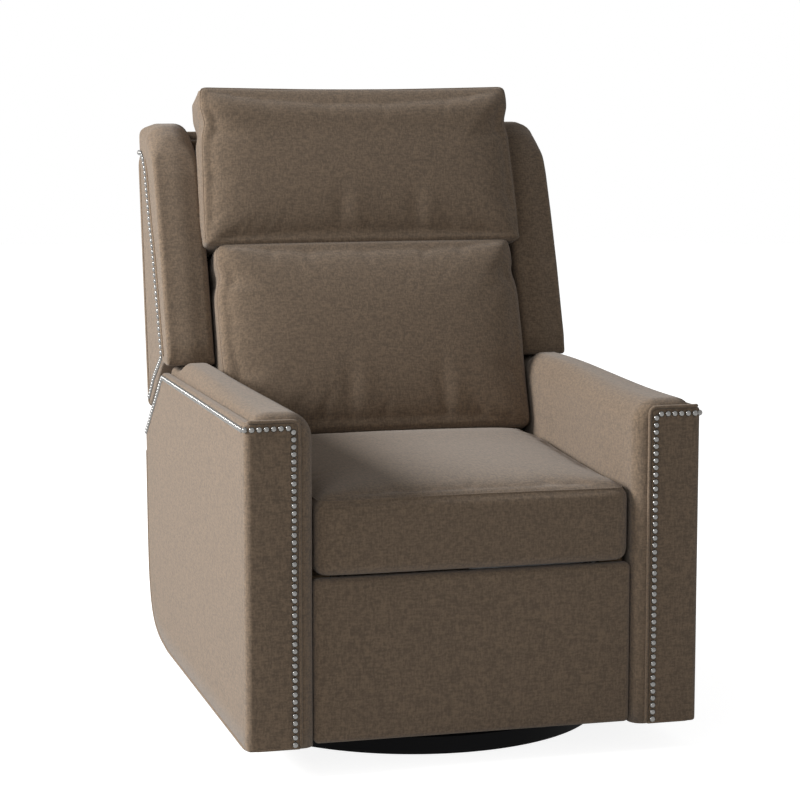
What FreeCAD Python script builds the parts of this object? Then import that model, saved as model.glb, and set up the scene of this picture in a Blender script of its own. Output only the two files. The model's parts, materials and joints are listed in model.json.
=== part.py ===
import FreeCAD, Part
import math
import os
import re
from types import SimpleNamespace

import Sketcher
from FreeCAD import Rotation, Vector

# Wall hugger recliner on a round swivel base.
# Millimetres. The origin is on the floor at the swivel axis, the chair faces -Y and +Z is up.
# Names with "forward" are distances ahead of the swivel axis, towards -Y.
SIZES = {
    # Overall body
    "half_width": 382,
    "arm_width": 113,
    "arm_forward": 398,
    "arm_bottom": 49,
    "arm_top": 580,
    "arm_rear_top_back": 341,
    "arm_rear_top_height": 572,
    "arm_slant_back": 527,
    "arm_slant_height": 440,
    "arm_heel_back": 515,
    "arm_heel_height": 230,
    "arm_toe_back": 314,
    "arm_heel_bow": 58,
    "arm_inner_round": 42,
    "arm_outer_round": 5,
    "arm_board_inset": 43,
    "arm_board_thick": 22,
    "arm_board_margin": 24,
    "front_panel_thick": 14,
    # Nail trim
    "trim_width": 9.5,
    "trim_proud": 3,
    "trim_inset": 8,
    "trim_column_inset": 79,
    "trim_end_gap": 3,
    # Swivel base
    "pad_radius": 300,
    "pad_thick": 2,
    "disc_radius": 325,
    "disc_height": 34,
    "disc_edge_round": 5,
    "race_outer": 110,
    "race_inner": 70,
    "race_thick": 5,
    "thrust_thick": 1.8,
    "thrust_gap": 0.2,
    "king_radius": 8,
    "king_head_radius": 15,
    "king_head_height": 8,
    "king_depth": 20,
    "running_gap": 0.05,
    "face_gap": 0.3,
    # Turntable with its two tracks
    "turn_plate_half_width": 200,
    "turn_plate_half_depth": 150,
    "turn_plate_thick": 4,
    "track_offset": 180,
    "track_end_gap": 4,
    "track_web": 8,
    "track_web_height": 16,
    "track_head": 30,
    "track_head_height": 10,
    "track_stop_length": 6,
    "track_stop_height": 5,
    # Carriage
    "shoe_length": 60,
    "shoe_wall": 8,
    "shoe_lip": 6,
    "shoe_front_centre": 20,
    "shoe_back_centre": 150,
    "slide_travel": 180,
    "beam_width": 30,
    "beam_height": 20,
    "beam_front": 55,
    "beam_back": 330,
    "bar_size": 20,
    "front_bar_back": 40,
    "back_bar_back": 285,
    "plate_thick": 5,
    "plate_forward": 330,
    "plate_back": 388,
    "plate_top": 312,
    "plate_bolt_radius": 6,
    "plate_bolt_head": 4,
    "plate_bolt_height": 304,
    "plate_bolt_front": 150,
    "plate_bolt_middle": 60,
    "plate_bolt_rear": 200,
    # Seat
    "seat_rail_width": 38,
    "seat_rail_setback": 5,
    "seat_rail_back": 268,
    "seat_rail_height": 32,
    "seat_front_rail_depth": 48,
    "seat_front_rail_height": 11,
    "seat_back_rail_depth": 22,
    "seat_rail_top": 328,
    "webbing_thick": 2.5,
    "webbing_width": 52,
    "webbing_count": 5,
    "webbing_pitch": 86,
    "cushion_gap": 0.5,
    "cushion_side_gap": 3,
    "seat_setback": 6,
    "seat_back": 235,
    "seat_seam_height": 441,
    "seat_crown": 20,
    "seat_edge_round": 14,
    "side_draw": 4,
    "crown_share": 0.6,
    # Recline hinge and back frame
    "recline_back": 360,
    "recline_height": 190,
    "hinge_radius": 10,
    "hinge_head_radius": 14,
    "hinge_head_thick": 3.5,
    "bracket_half_width": 18,
    "bracket_gap": 2,
    "bracket_top_back": 348,
    "bracket_top_height": 445,
    "post_width": 32,
    "post_depth": 45,
    "post_foot": 60,
    "inside_pad_thick": 5,
    "post_length": 600,
    "tail_side_gap": 7,
    "tail_bottom": 130,
    "panel_foot_back": 489,
    "panel_lift": 19,
    "panel_top_back": 573.6,
    "panel_top_height": 1005,
    "panel_thick": 16,
    "top_rail_low": 935,
    "top_rail_high": 985,
    "bottom_rail_low": 440,
    "bottom_rail_high": 480,
    # Wings
    "wing_width": 88,
    "wing_foot_back": 284,
    "wing_foot_gap": 10,
    "wing_knee_setback": 2,
    "wing_knee_lift": 16,
    "wing_waist_back": 358,
    "wing_waist_height": 805,
    "wing_shoulder_back": 436,
    "wing_shoulder_height": 960,
    "wing_peak_back": 492,
    "wing_peak_height": 1024,
    "wing_round": 24,
    "wing_inner_round": 12,
    "wing_trim_top_back": 545,
    "wing_trim_top_height": 948,
    "wing_trim_mid_back": 412,
    "wing_trim_mid_height": 760,
    # Back cushion and headrest pillow
    "back_seat_back": 190,
    "back_seat_gap": 9,
    "back_lean": 20.5,
    "back_length": 352,
    "back_depth": 130,
    "back_low_gap": 19,
    "back_high_gap": 10,
    "back_crown": 20,
    "back_edge_round": 16,
    "head_gap": 6.7,
    "head_lean": 16.6,
    "head_length": 299,
    "head_depth": 112,
    "head_low_gap": 4,
    "head_high_gap": 6,
    "head_crown": 16,
    "head_edge_round": 18,
    "inside_top_height": 985,
    # Footrest linkage, folded under the seat
    "link_thick": 5,
    "layer_pitch": 8,
    "link_half_width": 7.5,
    "rivet_radius": 4,
    "rivet_reach": 6.5,
    "front_pivot_forward": 255,
    "front_pivot_height": 275,
    "front_link_length": 200,
    "fold_angle": 255,
    "control_ahead": 29.4,
    "control_above": 17,
    "foot_pivot_setback": 27,
    "foot_pivot_height": 245,
    "tilt_arm": 64,
    "open_pivot_gap": 0.5,
    "torque_tube_radius": 8,
    "torque_tube_wall": 1.5,
    "torque_tube_reach": 110,
    # Footrest panel
    "foot_bottom_gap": 3,
    "foot_top_gap": 10,
    "foot_setback": 7,
    "foot_pad_thick": 33,
    "foot_board_thick": 15,
    "foot_board_margin": 6,
    "foot_crown": 7,
    "foot_edge_round": 10,
    "foot_draw": 1,
    "foot_bracket_margin": 16,
    "foot_flange_width": 24,
    "foot_flange_thick": 3,
}

doc = FreeCAD.newDocument("Recliner")
sheet = doc.addObject("Spreadsheet::Sheet", "Sizes")
for row, (alias, number) in enumerate(SIZES.items(), 1):
    sheet.set(f"A{row}", alias)
    sheet.set(f"B{row}", str(number))
    sheet.setAlias(f"B{row}", alias)
doc.recompute()
size = SimpleNamespace(**{alias: float(sheet.get(alias)) for alias in SIZES})

# Sizes that follow from the ones above, as formulas for the sheet and as numbers
ARM_INNER = "half_width - arm_width"
PLATE_OUTER = f"{ARM_INNER} - seat_rail_width"
PLATE_INNER = f"{PLATE_OUTER} - plate_thick"
SEAT_HALF = f"{ARM_INNER} - cushion_side_gap"
TAIL_HALF = f"{ARM_INNER} - tail_side_gap"
FOOT_FORWARD = "arm_forward - foot_setback"
FOOT_BOARD_REAR = f"{FOOT_FORWARD} - foot_pad_thick - foot_board_thick"
SEAT_RAIL_FORWARD = f"{FOOT_BOARD_REAR} - seat_rail_setback"
FOOT_BOTTOM = "arm_bottom + foot_bottom_gap"
FOOT_TOP = "seat_rail_top - foot_top_gap"
ARM_SLOPE = "(arm_rear_top_height - arm_slant_height) / (arm_slant_back - arm_rear_top_back)"
PANEL_FOOT = f"arm_rear_top_height - (panel_foot_back - arm_rear_top_back) * {ARM_SLOPE} + panel_lift"
arm_inner = size.half_width - size.arm_width
plate_inner = arm_inner - size.seat_rail_width - size.plate_thick
cushion_half = arm_inner - size.cushion_side_gap
tail_half = arm_inner - size.tail_side_gap
wing_inner = size.half_width - size.wing_width
foot_forward = size.arm_forward - size.foot_setback
foot_board_rear = foot_forward - size.foot_pad_thick - size.foot_board_thick
foot_bottom = size.arm_bottom + size.foot_bottom_gap
foot_top = size.seat_rail_top - size.foot_top_gap
arm_drop = size.arm_rear_top_height - size.arm_slant_height
arm_slope = arm_drop / (size.arm_slant_back - size.arm_rear_top_back)
panel_foot = (size.arm_rear_top_height - (size.panel_foot_back - size.arm_rear_top_back) * arm_slope
              + size.panel_lift)
back_seat_height = size.seat_seam_height + size.seat_crown + size.back_seat_gap

LEFT, RIGHT = "left", "right"
SIGN = {LEFT: -1, RIGHT: 1}
SIDES = (LEFT, RIGHT)
QUARTER_TURN = 90
CROWN_STEPS = 4
LINK_LAYERS = 3
SAME_PLACE = 1e-3
nodes = {}


# Helpers that bind document objects to the sheet

def formula(text):
    """Turns size names in a formula into references to the sheet."""
    def refer(word):
        name = word.group()
        return f"Sizes.{name}" if name in SIZES else name
    return re.sub(r"[a-z]\w*", refer, text)


def keep(piece):
    """Marks a document object as a sub-part."""
    nodes[piece.Label] = piece
    return piece


def across(side, inner, outer):
    """Gives the X range of something that lies between two distances from the middle."""
    if side == RIGHT:
        return inner, outer
    return f"-({outer})", f"-({inner})"


def both_ways(half):
    """Gives the range from minus a half width to plus that half width."""
    return f"-({half})", half


def centred(middle, width):
    """Gives the range of a width about its middle."""
    return f"{middle} - {width} / 2", f"{middle} + {width} / 2"


def block(label, x, y, z):
    """Makes a box from the formulas of its lowest and highest corners."""
    piece = doc.addObject("Part::Box", label)
    for edge, axis, (low, high) in zip(("Length", "Width", "Height"), "xyz", (x, y, z)):
        piece.setExpression(edge, formula(f"({high}) - ({low})"))
        piece.setExpression(f"Placement.Base.{axis}", formula(low))
    return piece


def disc(label, radius, low, high):
    """Makes an upright cylinder on the swivel axis."""
    piece = doc.addObject("Part::Cylinder", label)
    piece.setExpression("Radius", formula(radius))
    piece.setExpression("Height", formula(f"({high}) - ({low})"))
    piece.setExpression("Placement.Base.z", formula(low))
    return piece


def pin(label, radius, x, y, z):
    """Makes a cylinder along X from the formulas of its X range and its centre."""
    piece = doc.addObject("Part::Cylinder", label)
    piece.Placement.Rotation = Rotation(Vector(0, 1, 0), QUARTER_TURN)
    piece.setExpression("Radius", formula(radius))
    piece.setExpression("Height", formula(f"({x[1]}) - ({x[0]})"))
    for axis, text in zip("xyz", (x[0], y, z)):
        piece.setExpression(f"Placement.Base.{axis}", formula(text))
    return piece


def join(label, pieces):
    """Fuses pieces into one solid."""
    piece = doc.addObject("Part::MultiFuse", label)
    piece.Shapes = list(pieces)
    return piece


def group(label, pieces):
    """Puts separate solids into one sub-part."""
    piece = doc.addObject("Part::Compound", label)
    piece.Links = list(pieces)
    return piece


def cut(label, base, tool):
    """Cuts one piece out of another."""
    piece = doc.addObject("Part::Cut", label)
    piece.Base = base
    piece.Tool = tool
    return piece


def formed(label, shape):
    """Makes a sub-part from a shape that is worked out from the sheet's sizes."""
    piece = doc.addObject("Part::Feature", label)
    piece.Shape = shape
    piece.Placement.Base = Vector(0, 0, 0)
    return piece


# Helpers for shapes that slope or bulge

def closed_wire(points):
    """Makes a closed outline, in which a three-point tuple is an arc through its middle."""
    edges = []
    for index, point in enumerate(points):
        following = points[(index + 1) % len(points)]
        end = following[0] if isinstance(following, tuple) else following
        if isinstance(point, tuple):
            edges.append(Part.Arc(*point).toShape())
            point = point[2]
        if point.distanceToPoint(end) > SAME_PLACE:
            edges.append(Part.LineSegment(point, end).toShape())
    return Part.Wire(edges)


def side_point(back, height, x=0.0):
    """Gives a point by its distance behind the swivel axis and its height."""
    return Vector(x, back, height)


def prism(outline, x_low, x_high):
    """Extrudes an outline in the side plane from one X to another."""
    face = Part.Face(closed_wire(outline))
    face.translate(Vector(x_low, 0, 0))
    return face.extrude(Vector(x_high - x_low, 0, 0))


def span(side, inner, outer):
    """Gives the X range, low to high, of something between two distances from the middle."""
    return sorted((SIGN[side] * inner, SIGN[side] * outer))


def strap(start, end, half_width, x_low, x_high):
    """Makes a flat bar with round ends between two points of the side plane."""
    along = (end - start).normalize()
    over = Vector(0, -along.z, along.y) * half_width
    tip = along * half_width
    outline = [
        (start + over, start - tip, start - over),
        (end - over, end + tip, end + over),
    ]
    return prism(outline, x_low, x_high)


def bore(centre, radius, x_low, x_high):
    """Makes a cylinder along X through a point of the side plane."""
    return Part.makeCylinder(radius, x_high - x_low, Vector(x_low, centre.y, centre.z), Vector(1, 0, 0))


def pillow(place, sections):
    """Lofts a cushion through outlines of four arcs each.

    place turns (across, up, deep) into a point. A section is its depth, its half widths at the foot and
    at the head, its low and high edge, and how far its sides swell out at their middle.
    """
    wires = []
    for deep, half_low, half_high, low, high, swell in sections:
        middle = (low + high) / 2
        half_middle = (half_low + half_high) / 2 + swell
        corners = [(-half_low, low), (half_low, low), (half_high, high), (-half_high, high)]
        bows = [(0, low - swell), (half_middle, middle), (0, high + swell), (-half_middle, middle)]
        edges = []
        for index, bow in enumerate(bows):
            ends = corners[index], corners[(index + 1) % len(corners)]
            edges.append(Part.Arc(place(*ends[0], deep), place(*bow, deep), place(*ends[1], deep)).toShape())
        wires.append(Part.Wire(edges))
    return Part.makeLoft(wires, True, True)


def crowned(depth, crown, edge_round, half_low, half_high, length, draw):
    """Gives the sections of a boxed cushion: a crowned face, drawn-in sides and a softened rear edge."""
    stations = []
    shorter = min(half_low, half_high, length / 2)
    for step in range(CROWN_STEPS):
        turn = math.radians(QUARTER_TURN * step / CROWN_STEPS)
        inset = edge_round + (shorter * size.crown_share - edge_round) * (1 - math.sin(turn))
        stations.append((-crown * math.cos(turn), inset, draw))
    stations += [(0, edge_round, draw / 2), (edge_round, 0, -draw / 2), (depth / 2, 0, -draw),
                 (depth - edge_round, 0, -draw / 2), (depth, edge_round, -draw / 2)]
    return [(deep, half_low - inset, half_high - inset, inset, length - inset, swell)
            for deep, inset, swell in stations]


# Swivel base: a floor pad, a disc, the lower half of the bearing and the king bolt

disc_top = "pad_thick + disc_height"
thrust_low = f"{disc_top} + race_thick"
thrust_high = f"{thrust_low} + thrust_thick"
upper_race_low = f"{thrust_high} + thrust_gap"
turn_plate_low = f"{upper_race_low} + race_thick"
turn_plate_high = f"{turn_plate_low} + turn_plate_thick"
disc_top_height = size.pad_thick + size.disc_height

keep(disc("floor_pad", "pad_radius", "0", "pad_thick"))

king_well = disc("king_well", "king_radius", f"{disc_top} - king_depth", disc_top)
disc_body = doc.addObject("PartDesign::Body", "disc_body")
disc_sketch = disc_body.newObject("Sketcher::SketchObject", "disc_profile")
upright_plane = next(plane for plane in disc_body.Origin.OriginFeatures if plane.Role == "XZ_Plane")
disc_sketch.AttachmentSupport = (upright_plane, [""])
disc_sketch.MapMode = "FlatFace"
disc_corners = [
    Vector(0, size.pad_thick),
    Vector(size.disc_radius, size.pad_thick),
    Vector(size.disc_radius, disc_top_height - size.disc_edge_round),
    Vector(size.disc_radius - size.disc_edge_round, disc_top_height),
    Vector(0, disc_top_height),
]
for index, corner in enumerate(disc_corners):
    disc_sketch.addGeometry(Part.LineSegment(corner, disc_corners[(index + 1) % len(disc_corners)]))
for index in range(len(disc_corners)):
    following = (index + 1) % len(disc_corners)
    disc_sketch.addConstraint(Sketcher.Constraint("Coincident", index, 2, following, 1))
reaches = {1: ("disc_radius", "pad_thick"), 2: ("disc_radius", f"{disc_top} - disc_edge_round"),
           3: ("disc_radius - disc_edge_round", disc_top)}
for vertex, texts in reaches.items():
    for way, text in zip(("DistanceX", "DistanceY"), texts):
        place = disc_corners[vertex].x if way == "DistanceX" else disc_corners[vertex].y
        number = disc_sketch.addConstraint(Sketcher.Constraint(way, -1, 1, vertex, 1, place))
        disc_sketch.setExpression(f"Constraints[{number}]", formula(text))
for vertex, text in ((0, "pad_thick"), (4, disc_top)):
    disc_sketch.addConstraint(Sketcher.Constraint("PointOnObject", vertex, 1, -2))
    height = disc_corners[vertex].y
    number = disc_sketch.addConstraint(Sketcher.Constraint("DistanceY", -1, 1, vertex, 1, height))
    disc_sketch.setExpression(f"Constraints[{number}]", formula(text))
disc_turned = disc_body.newObject("PartDesign::Revolution", "disc_turned")
disc_turned.Profile = disc_sketch
disc_turned.ReferenceAxis = (disc_sketch, ["V_Axis"])
doc.recompute()
keep(cut("base_disc", disc_body, king_well))

for label, low, high in (("lower_race", disc_top, thrust_low), ("thrust_ring", thrust_low, thrust_high),
                         ("upper_race", upper_race_low, turn_plate_low)):
    ring = disc(f"{label}_outer", "race_outer", low, high)
    keep(cut(label, ring, disc(f"{label}_inner", "race_inner", low, high)))

king_shaft = disc("king_shaft", "king_radius", f"{disc_top} - king_depth", f"{turn_plate_high} + face_gap")
king_head = disc("king_head", "king_head_radius", f"{turn_plate_high} + face_gap",
                 f"{turn_plate_high} + face_gap + king_head_height")
keep(join("king_bolt", (king_shaft, king_head)))


# Turntable: a plate and two tracks with T-shaped heads

turn_blank = block("turn_blank", ("-turn_plate_half_width", "turn_plate_half_width"),
                   ("-turn_plate_half_depth", "turn_plate_half_depth"), (turn_plate_low, turn_plate_high))
king_hole = disc("king_hole", "king_radius + running_gap", turn_plate_low, turn_plate_high)
keep(cut("swivel_plate", turn_blank, king_hole))

head_low = f"{turn_plate_high} + track_web_height"
head_high = f"{head_low} + track_head_height"
TRACK_SPARE = "shoe_length / 2 + track_end_gap + track_stop_length"
track_front = f"-(shoe_front_centre + slide_travel + {TRACK_SPARE})"
track_back = f"shoe_back_centre + {TRACK_SPARE}"
track_length = (track_front, track_back)
for side in SIDES:
    web_x = across(side, *centred("track_offset", "track_web"))
    web = block(f"track_web_{side}", web_x, track_length, (turn_plate_high, head_low))
    head_x = across(side, *centred("track_offset", "track_head"))
    head = block(f"track_head_{side}", head_x, track_length, (head_low, head_high))
    keep(join(f"track_{side}", (web, head)))

stops = []
stop_z = (head_high, f"{head_high} + track_stop_height")
for side in SIDES:
    stop_x = across(side, *centred("track_offset", "track_head"))
    for end, stop_y in (("front", (track_front, f"{track_front} + track_stop_length")),
                        ("rear", (f"{track_back} - track_stop_length", track_back))):
        stops.append(block(f"track_stop_{side}_{end}", stop_x, stop_y, stop_z))
keep(group("track_stops", stops))


# Carriage: sliding shoes, beams, cross bars and side plates

shoe_top = f"{head_high} + face_gap + shoe_wall"
shoe_low = f"{head_low} - face_gap - shoe_lip"
beam_high = f"{shoe_top} + beam_height"
bar_high = f"{beam_high} + bar_size"
shoes = []
for side in SIDES:
    for end, centre in (("front", "-shoe_front_centre"), ("rear", "shoe_back_centre")):
        shoe_y = centred(centre, "shoe_length")
        name = f"shoe_{side}_{end}"
        body = block(f"{name}_body", across(side, "track_offset - track_head / 2 - face_gap - shoe_wall",
                                            "track_offset + track_head / 2 + face_gap + shoe_wall"),
                     shoe_y, (shoe_low, shoe_top))
        head_slot = block(f"{name}_head_slot", across(side, "track_offset - track_head / 2 - face_gap",
                                                      "track_offset + track_head / 2 + face_gap"),
                          shoe_y, (f"{head_low} - face_gap", f"{head_high} + face_gap"))
        web_slot = block(f"{name}_web_slot", across(side, "track_offset - track_web / 2 - face_gap",
                                                    "track_offset + track_web / 2 + face_gap"),
                         shoe_y, (shoe_low, f"{head_low} - face_gap"))
        shoes.append(cut(name, body, join(f"{name}_slots", (head_slot, web_slot))))
keep(group("glide_shoes", shoes))

for side in SIDES:
    keep(block(f"carriage_beam_{side}", across(side, *centred("track_offset", "beam_width")),
               ("-beam_front", "beam_back"), (shoe_top, beam_high)))
for end, back in (("front", "front_bar_back"), ("rear", "back_bar_back")):
    bar_y = (back, f"{back} + bar_size")
    keep(block(f"cross_bar_{end}", both_ways(PLATE_INNER), bar_y, (beam_high, bar_high)))
for side in SIDES:
    keep(block(f"side_plate_{side}", across(side, PLATE_INNER, PLATE_OUTER),
               ("-plate_forward", "plate_back"), (beam_high, "plate_top")))

bolts = []
bolt_places = {"front": "-plate_bolt_front", "middle": "plate_bolt_middle", "rear": "plate_bolt_rear"}
for side in SIDES:
    for end, back in bolt_places.items():
        head_x = across(side, f"{PLATE_INNER} - plate_bolt_head", PLATE_INNER)
        bolts.append(pin(f"plate_bolt_{side}_{end}", "plate_bolt_radius", head_x, back, "plate_bolt_height"))
keep(group("plate_bolts", bolts))


# Seat: four rails, webbing and the boxed cushion

rail_z = ("seat_rail_top - seat_rail_height", "seat_rail_top")
rail_front = f"-({SEAT_RAIL_FORWARD})"
rail_length = (rail_front, "seat_rail_back")
for side in SIDES:
    keep(block(f"seat_rail_{side}", across(side, PLATE_OUTER, ARM_INNER), rail_length, rail_z))
keep(block("seat_rail_front", both_ways(PLATE_OUTER), (rail_front, f"{rail_front} + seat_front_rail_depth"),
           ("seat_rail_top - seat_front_rail_height", "seat_rail_top")))
keep(block("seat_rail_rear", both_ways(PLATE_INNER),
           ("seat_rail_back - seat_back_rail_depth", "seat_rail_back"), rail_z))

straps = []
for index in range(int(size.webbing_count)):
    centre = f"({index} - (webbing_count - 1) / 2) * webbing_pitch"
    straps.append(block(f"webbing_strap_{index}", centred(centre, "webbing_width"), rail_length,
                        ("seat_rail_top", "seat_rail_top + webbing_thick")))
keep(group("seat_webbing", straps))

seat_low = size.seat_rail_top + size.webbing_thick + size.cushion_gap
seat_forward = size.arm_forward - size.seat_setback
seat_length = seat_forward + size.seat_back


def seat_place(across_x, up, deep):
    """Lays the cushion flat: its face looks up and its foot is at the front."""
    return Vector(across_x, up - seat_forward, size.seat_seam_height - deep)


keep(formed("seat_cushion", pillow(seat_place, crowned(
    size.seat_seam_height - seat_low, size.seat_crown, size.seat_edge_round, cushion_half, cushion_half,
    seat_length, size.side_draw))))


# Arms: a board inside an upholstered cover, a front panel and the nail trim

panel_rear = -size.arm_forward + size.front_panel_thick
slant_start = side_point(size.arm_rear_top_back, size.arm_rear_top_height)
slant_end = side_point(size.arm_slant_back, size.arm_slant_height)
heel = side_point(size.arm_heel_back, size.arm_heel_height)
toe = side_point(size.arm_toe_back, size.arm_bottom)
heel_middle = (heel + toe) / 2
heel_out = Vector(0, heel.z - toe.z, toe.y - heel.y).normalize() * size.arm_heel_bow
arm_outline = [
    side_point(panel_rear, size.arm_bottom),
    (toe, heel_middle + heel_out, heel),
    slant_end,
    slant_start,
    side_point(panel_rear, size.arm_top),
]
board_inner = size.half_width - size.arm_board_inset - size.arm_board_thick
board_outer = size.half_width - size.arm_board_inset
board_box_z = (size.arm_bottom + size.arm_board_margin, size.arm_rear_top_height - 2 * size.arm_board_margin)


def edge_between(shape, start, end):
    """Finds the straight edge of a shape between two points."""
    def matches(edge):
        places = [vertex.Point for vertex in edge.Vertexes]
        return len(places) == 2 and min(
            places[0].distanceToPoint(start) + places[1].distanceToPoint(end),
            places[1].distanceToPoint(start) + places[0].distanceToPoint(end)) < SAME_PLACE
    return next(edge for edge in shape.Edges if matches(edge))


for side in SIDES:
    low, high = span(side, board_inner, board_outer)
    board = Part.makeBox(high - low, size.arm_rear_top_back - panel_rear - size.arm_board_margin,
                         board_box_z[1] - board_box_z[0], Vector(low, panel_rear, board_box_z[0]))
    cover = prism(arm_outline, *span(side, arm_inner, size.half_width))
    for reach, radius in ((arm_inner, size.arm_inner_round), (size.half_width, size.arm_outer_round)):
        x = SIGN[side] * reach
        crest = edge_between(cover, side_point(panel_rear, size.arm_top, x),
                             side_point(slant_start.y, slant_start.z, x))
        cover = cover.makeFillet(radius, [crest])
    keep(formed(f"arm_board_{side}", board))
    keep(formed(f"arm_cover_{side}", cover.cut(board)))
    inner, outer = SIGN[side] * arm_inner, SIGN[side] * size.half_width
    curve = size.arm_inner_round
    shoulder = inner + SIGN[side] * curve
    lean = curve * math.cos(math.radians(QUARTER_TURN / 2))
    front = -size.arm_forward
    corner = Vector(shoulder - SIGN[side] * lean, front, size.arm_top - curve + lean)
    face = Part.Face(closed_wire([
        Vector(inner, front, size.arm_bottom),
        (Vector(inner, front, size.arm_top - curve), corner, Vector(shoulder, front, size.arm_top)),
        Vector(outer, front, size.arm_top),
        Vector(outer, front, size.arm_bottom),
    ]))
    keep(formed(f"arm_front_panel_{side}", face.extrude(Vector(0, size.front_panel_thick, 0))))


def trim_run(start, end, x_low, x_high):
    """Makes one straight run of nail trim on a side face."""
    along = (end - start).normalize()
    over = Vector(0, -along.z, along.y) * size.trim_width / 2
    start = start + along * size.trim_end_gap
    end = end - along * size.trim_end_gap
    return prism([start + over, end + over, end - over, start - over], x_low, x_high)


trim_runs = []
for side in SIDES:
    drop = Vector(0, 0, -size.trim_inset - size.trim_width / 2)
    outside = span(side, size.half_width, size.half_width + size.trim_proud)
    slant_along = (slant_end - slant_start).normalize()
    slant_in = Vector(0, slant_along.z, -slant_along.y) * (size.trim_inset + size.trim_width / 2)
    knee = slant_start + drop
    trim_runs.append(trim_run(side_point(panel_rear, size.arm_top) + drop, knee, *outside))
    trim_runs.append(trim_run(knee + slant_along * size.trim_width, slant_end + slant_in, *outside))
    low, high = span(side, size.half_width - size.trim_column_inset - size.trim_width / 2,
                     size.half_width - size.trim_column_inset + size.trim_width / 2)
    front = -size.arm_forward - size.trim_proud
    row_low = size.arm_top - size.trim_inset - size.trim_width
    column_height = row_low - size.arm_bottom - 2 * size.trim_end_gap
    trim_runs.append(Part.makeBox(high - low, size.trim_proud, column_height,
                                  Vector(low, front, size.arm_bottom + size.trim_end_gap)))
    low, high = span(side, size.half_width - size.trim_column_inset - size.trim_width / 2,
                     size.half_width - size.trim_end_gap)
    trim_runs.append(Part.makeBox(high - low, size.trim_proud, size.trim_width, Vector(low, front, row_low)))
keep(formed("arm_nail_trim", Part.makeCompound(trim_runs)))


# Recline hinge: pins on the side plates and brackets on the posts

bracket_outer = plate_inner - size.bracket_gap
bracket_inner = bracket_outer - size.plate_thick
hinge = side_point(size.recline_back, size.recline_height)
HINGE_HEAD = f"{PLATE_INNER} - bracket_gap - plate_thick - face_gap"
pins = []
for side in SIDES:
    shaft = pin(f"hinge_shaft_{side}", "hinge_radius", across(side, HINGE_HEAD, PLATE_INNER),
                "recline_back", "recline_height")
    head = pin(f"hinge_head_{side}", "hinge_head_radius",
               across(side, f"{HINGE_HEAD} - hinge_head_thick", HINGE_HEAD), "recline_back", "recline_height")
    pins.append(join(f"hinge_pin_{side}", (shaft, head)))
keep(group("back_hinge_pins", pins))
bracket_top = side_point(size.bracket_top_back, size.bracket_top_height)
for side in SIDES:
    low, high = span(side, bracket_inner, bracket_outer)
    plate = strap(hinge, bracket_top, size.bracket_half_width, low, high)
    hole = bore(hinge, size.hinge_radius + size.running_gap, low, high)
    keep(formed(f"back_bracket_{side}", plate.cut(hole)))


# Back frame: leaning posts, two rails, the inside back and the outside panels

back_lean = math.radians(size.back_lean)
head_lean = math.radians(size.head_lean)


def back_point(up, deep, x=0.0):
    """Gives a point by its distance up the back cushion's face and behind it."""
    return Vector(x, size.back_seat_back + up * math.sin(back_lean) + deep * math.cos(back_lean),
                  back_seat_height + up * math.cos(back_lean) - deep * math.sin(back_lean))


def head_point(up, deep, x=0.0):
    """Gives a point by its distance up the headrest's face and behind it."""
    foot = back_point(size.back_length + size.head_gap, 0)
    return Vector(x, foot.y + up * math.sin(head_lean) + deep * math.cos(head_lean),
                  foot.z + up * math.cos(head_lean) - deep * math.sin(head_lean))


def at_height(start, end, height):
    """Gives the point of a line at a height."""
    return start + (end - start) * ((height - start.z) / (end.z - start.z))


post_front = size.back_depth + size.inside_pad_thick
post_rear = post_front + size.post_depth
post_top = size.post_length - size.post_foot
post_front_line = back_point(-size.post_foot, post_front), back_point(post_top, post_front)
post_rear_line = back_point(-size.post_foot, post_rear), back_point(post_top, post_rear)
panel_line = (side_point(size.panel_foot_back, panel_foot),
              side_point(size.panel_top_back, size.panel_top_height))
post_outline = [*post_front_line, post_rear_line[1], post_rear_line[0]]
for side in SIDES:
    post_x = span(side, bracket_inner - size.post_width, bracket_inner)
    keep(formed(f"back_post_{side}", prism(post_outline, *post_x)))

top_rail = [at_height(*post_front_line, size.top_rail_low), at_height(*panel_line, size.top_rail_low),
            at_height(*panel_line, size.top_rail_high), at_height(*post_front_line, size.top_rail_high)]
keep(formed("back_top_rail", prism(top_rail, -wing_inner, wing_inner)))
bottom_rail = [at_height(*post_rear_line, size.bottom_rail_low),
               side_point(size.panel_foot_back, size.bottom_rail_low),
               side_point(size.panel_foot_back, size.bottom_rail_high),
               at_height(*post_rear_line, size.bottom_rail_high)]
keep(formed("back_bottom_rail", prism(bottom_rail, -tail_half, tail_half)))

head_rear_line = head_point(0, size.head_depth), head_point(size.head_length, size.head_depth)
inside_outline = [
    back_point(0, size.back_depth),
    back_point(size.back_length, size.back_depth),
    at_height(*head_rear_line, head_rear_line[0].z + size.head_edge_round),
    at_height(*head_rear_line, size.inside_top_height),
    at_height(*post_front_line, size.inside_top_height),
    back_point(0, post_front),
]
keep(formed("inside_back", prism(inside_outline, -tail_half, tail_half)))

thick = Vector(0, size.panel_thick, 0)
outside_outline = [panel_line[0], panel_line[1], panel_line[1] + thick, panel_line[0] + thick]
keep(formed("outside_back_panel", prism(outside_outline, -size.half_width, size.half_width)))
keep(block("back_tail_panel", both_ways(TAIL_HALF), ("panel_foot_back", "panel_foot_back + panel_thick"),
           ("tail_bottom", PANEL_FOOT)))


# Wings: padded sides that lean back with the frame, and their nail trim

wing_knee = slant_start + Vector(0, size.wing_knee_setback, size.wing_knee_lift)


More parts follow.
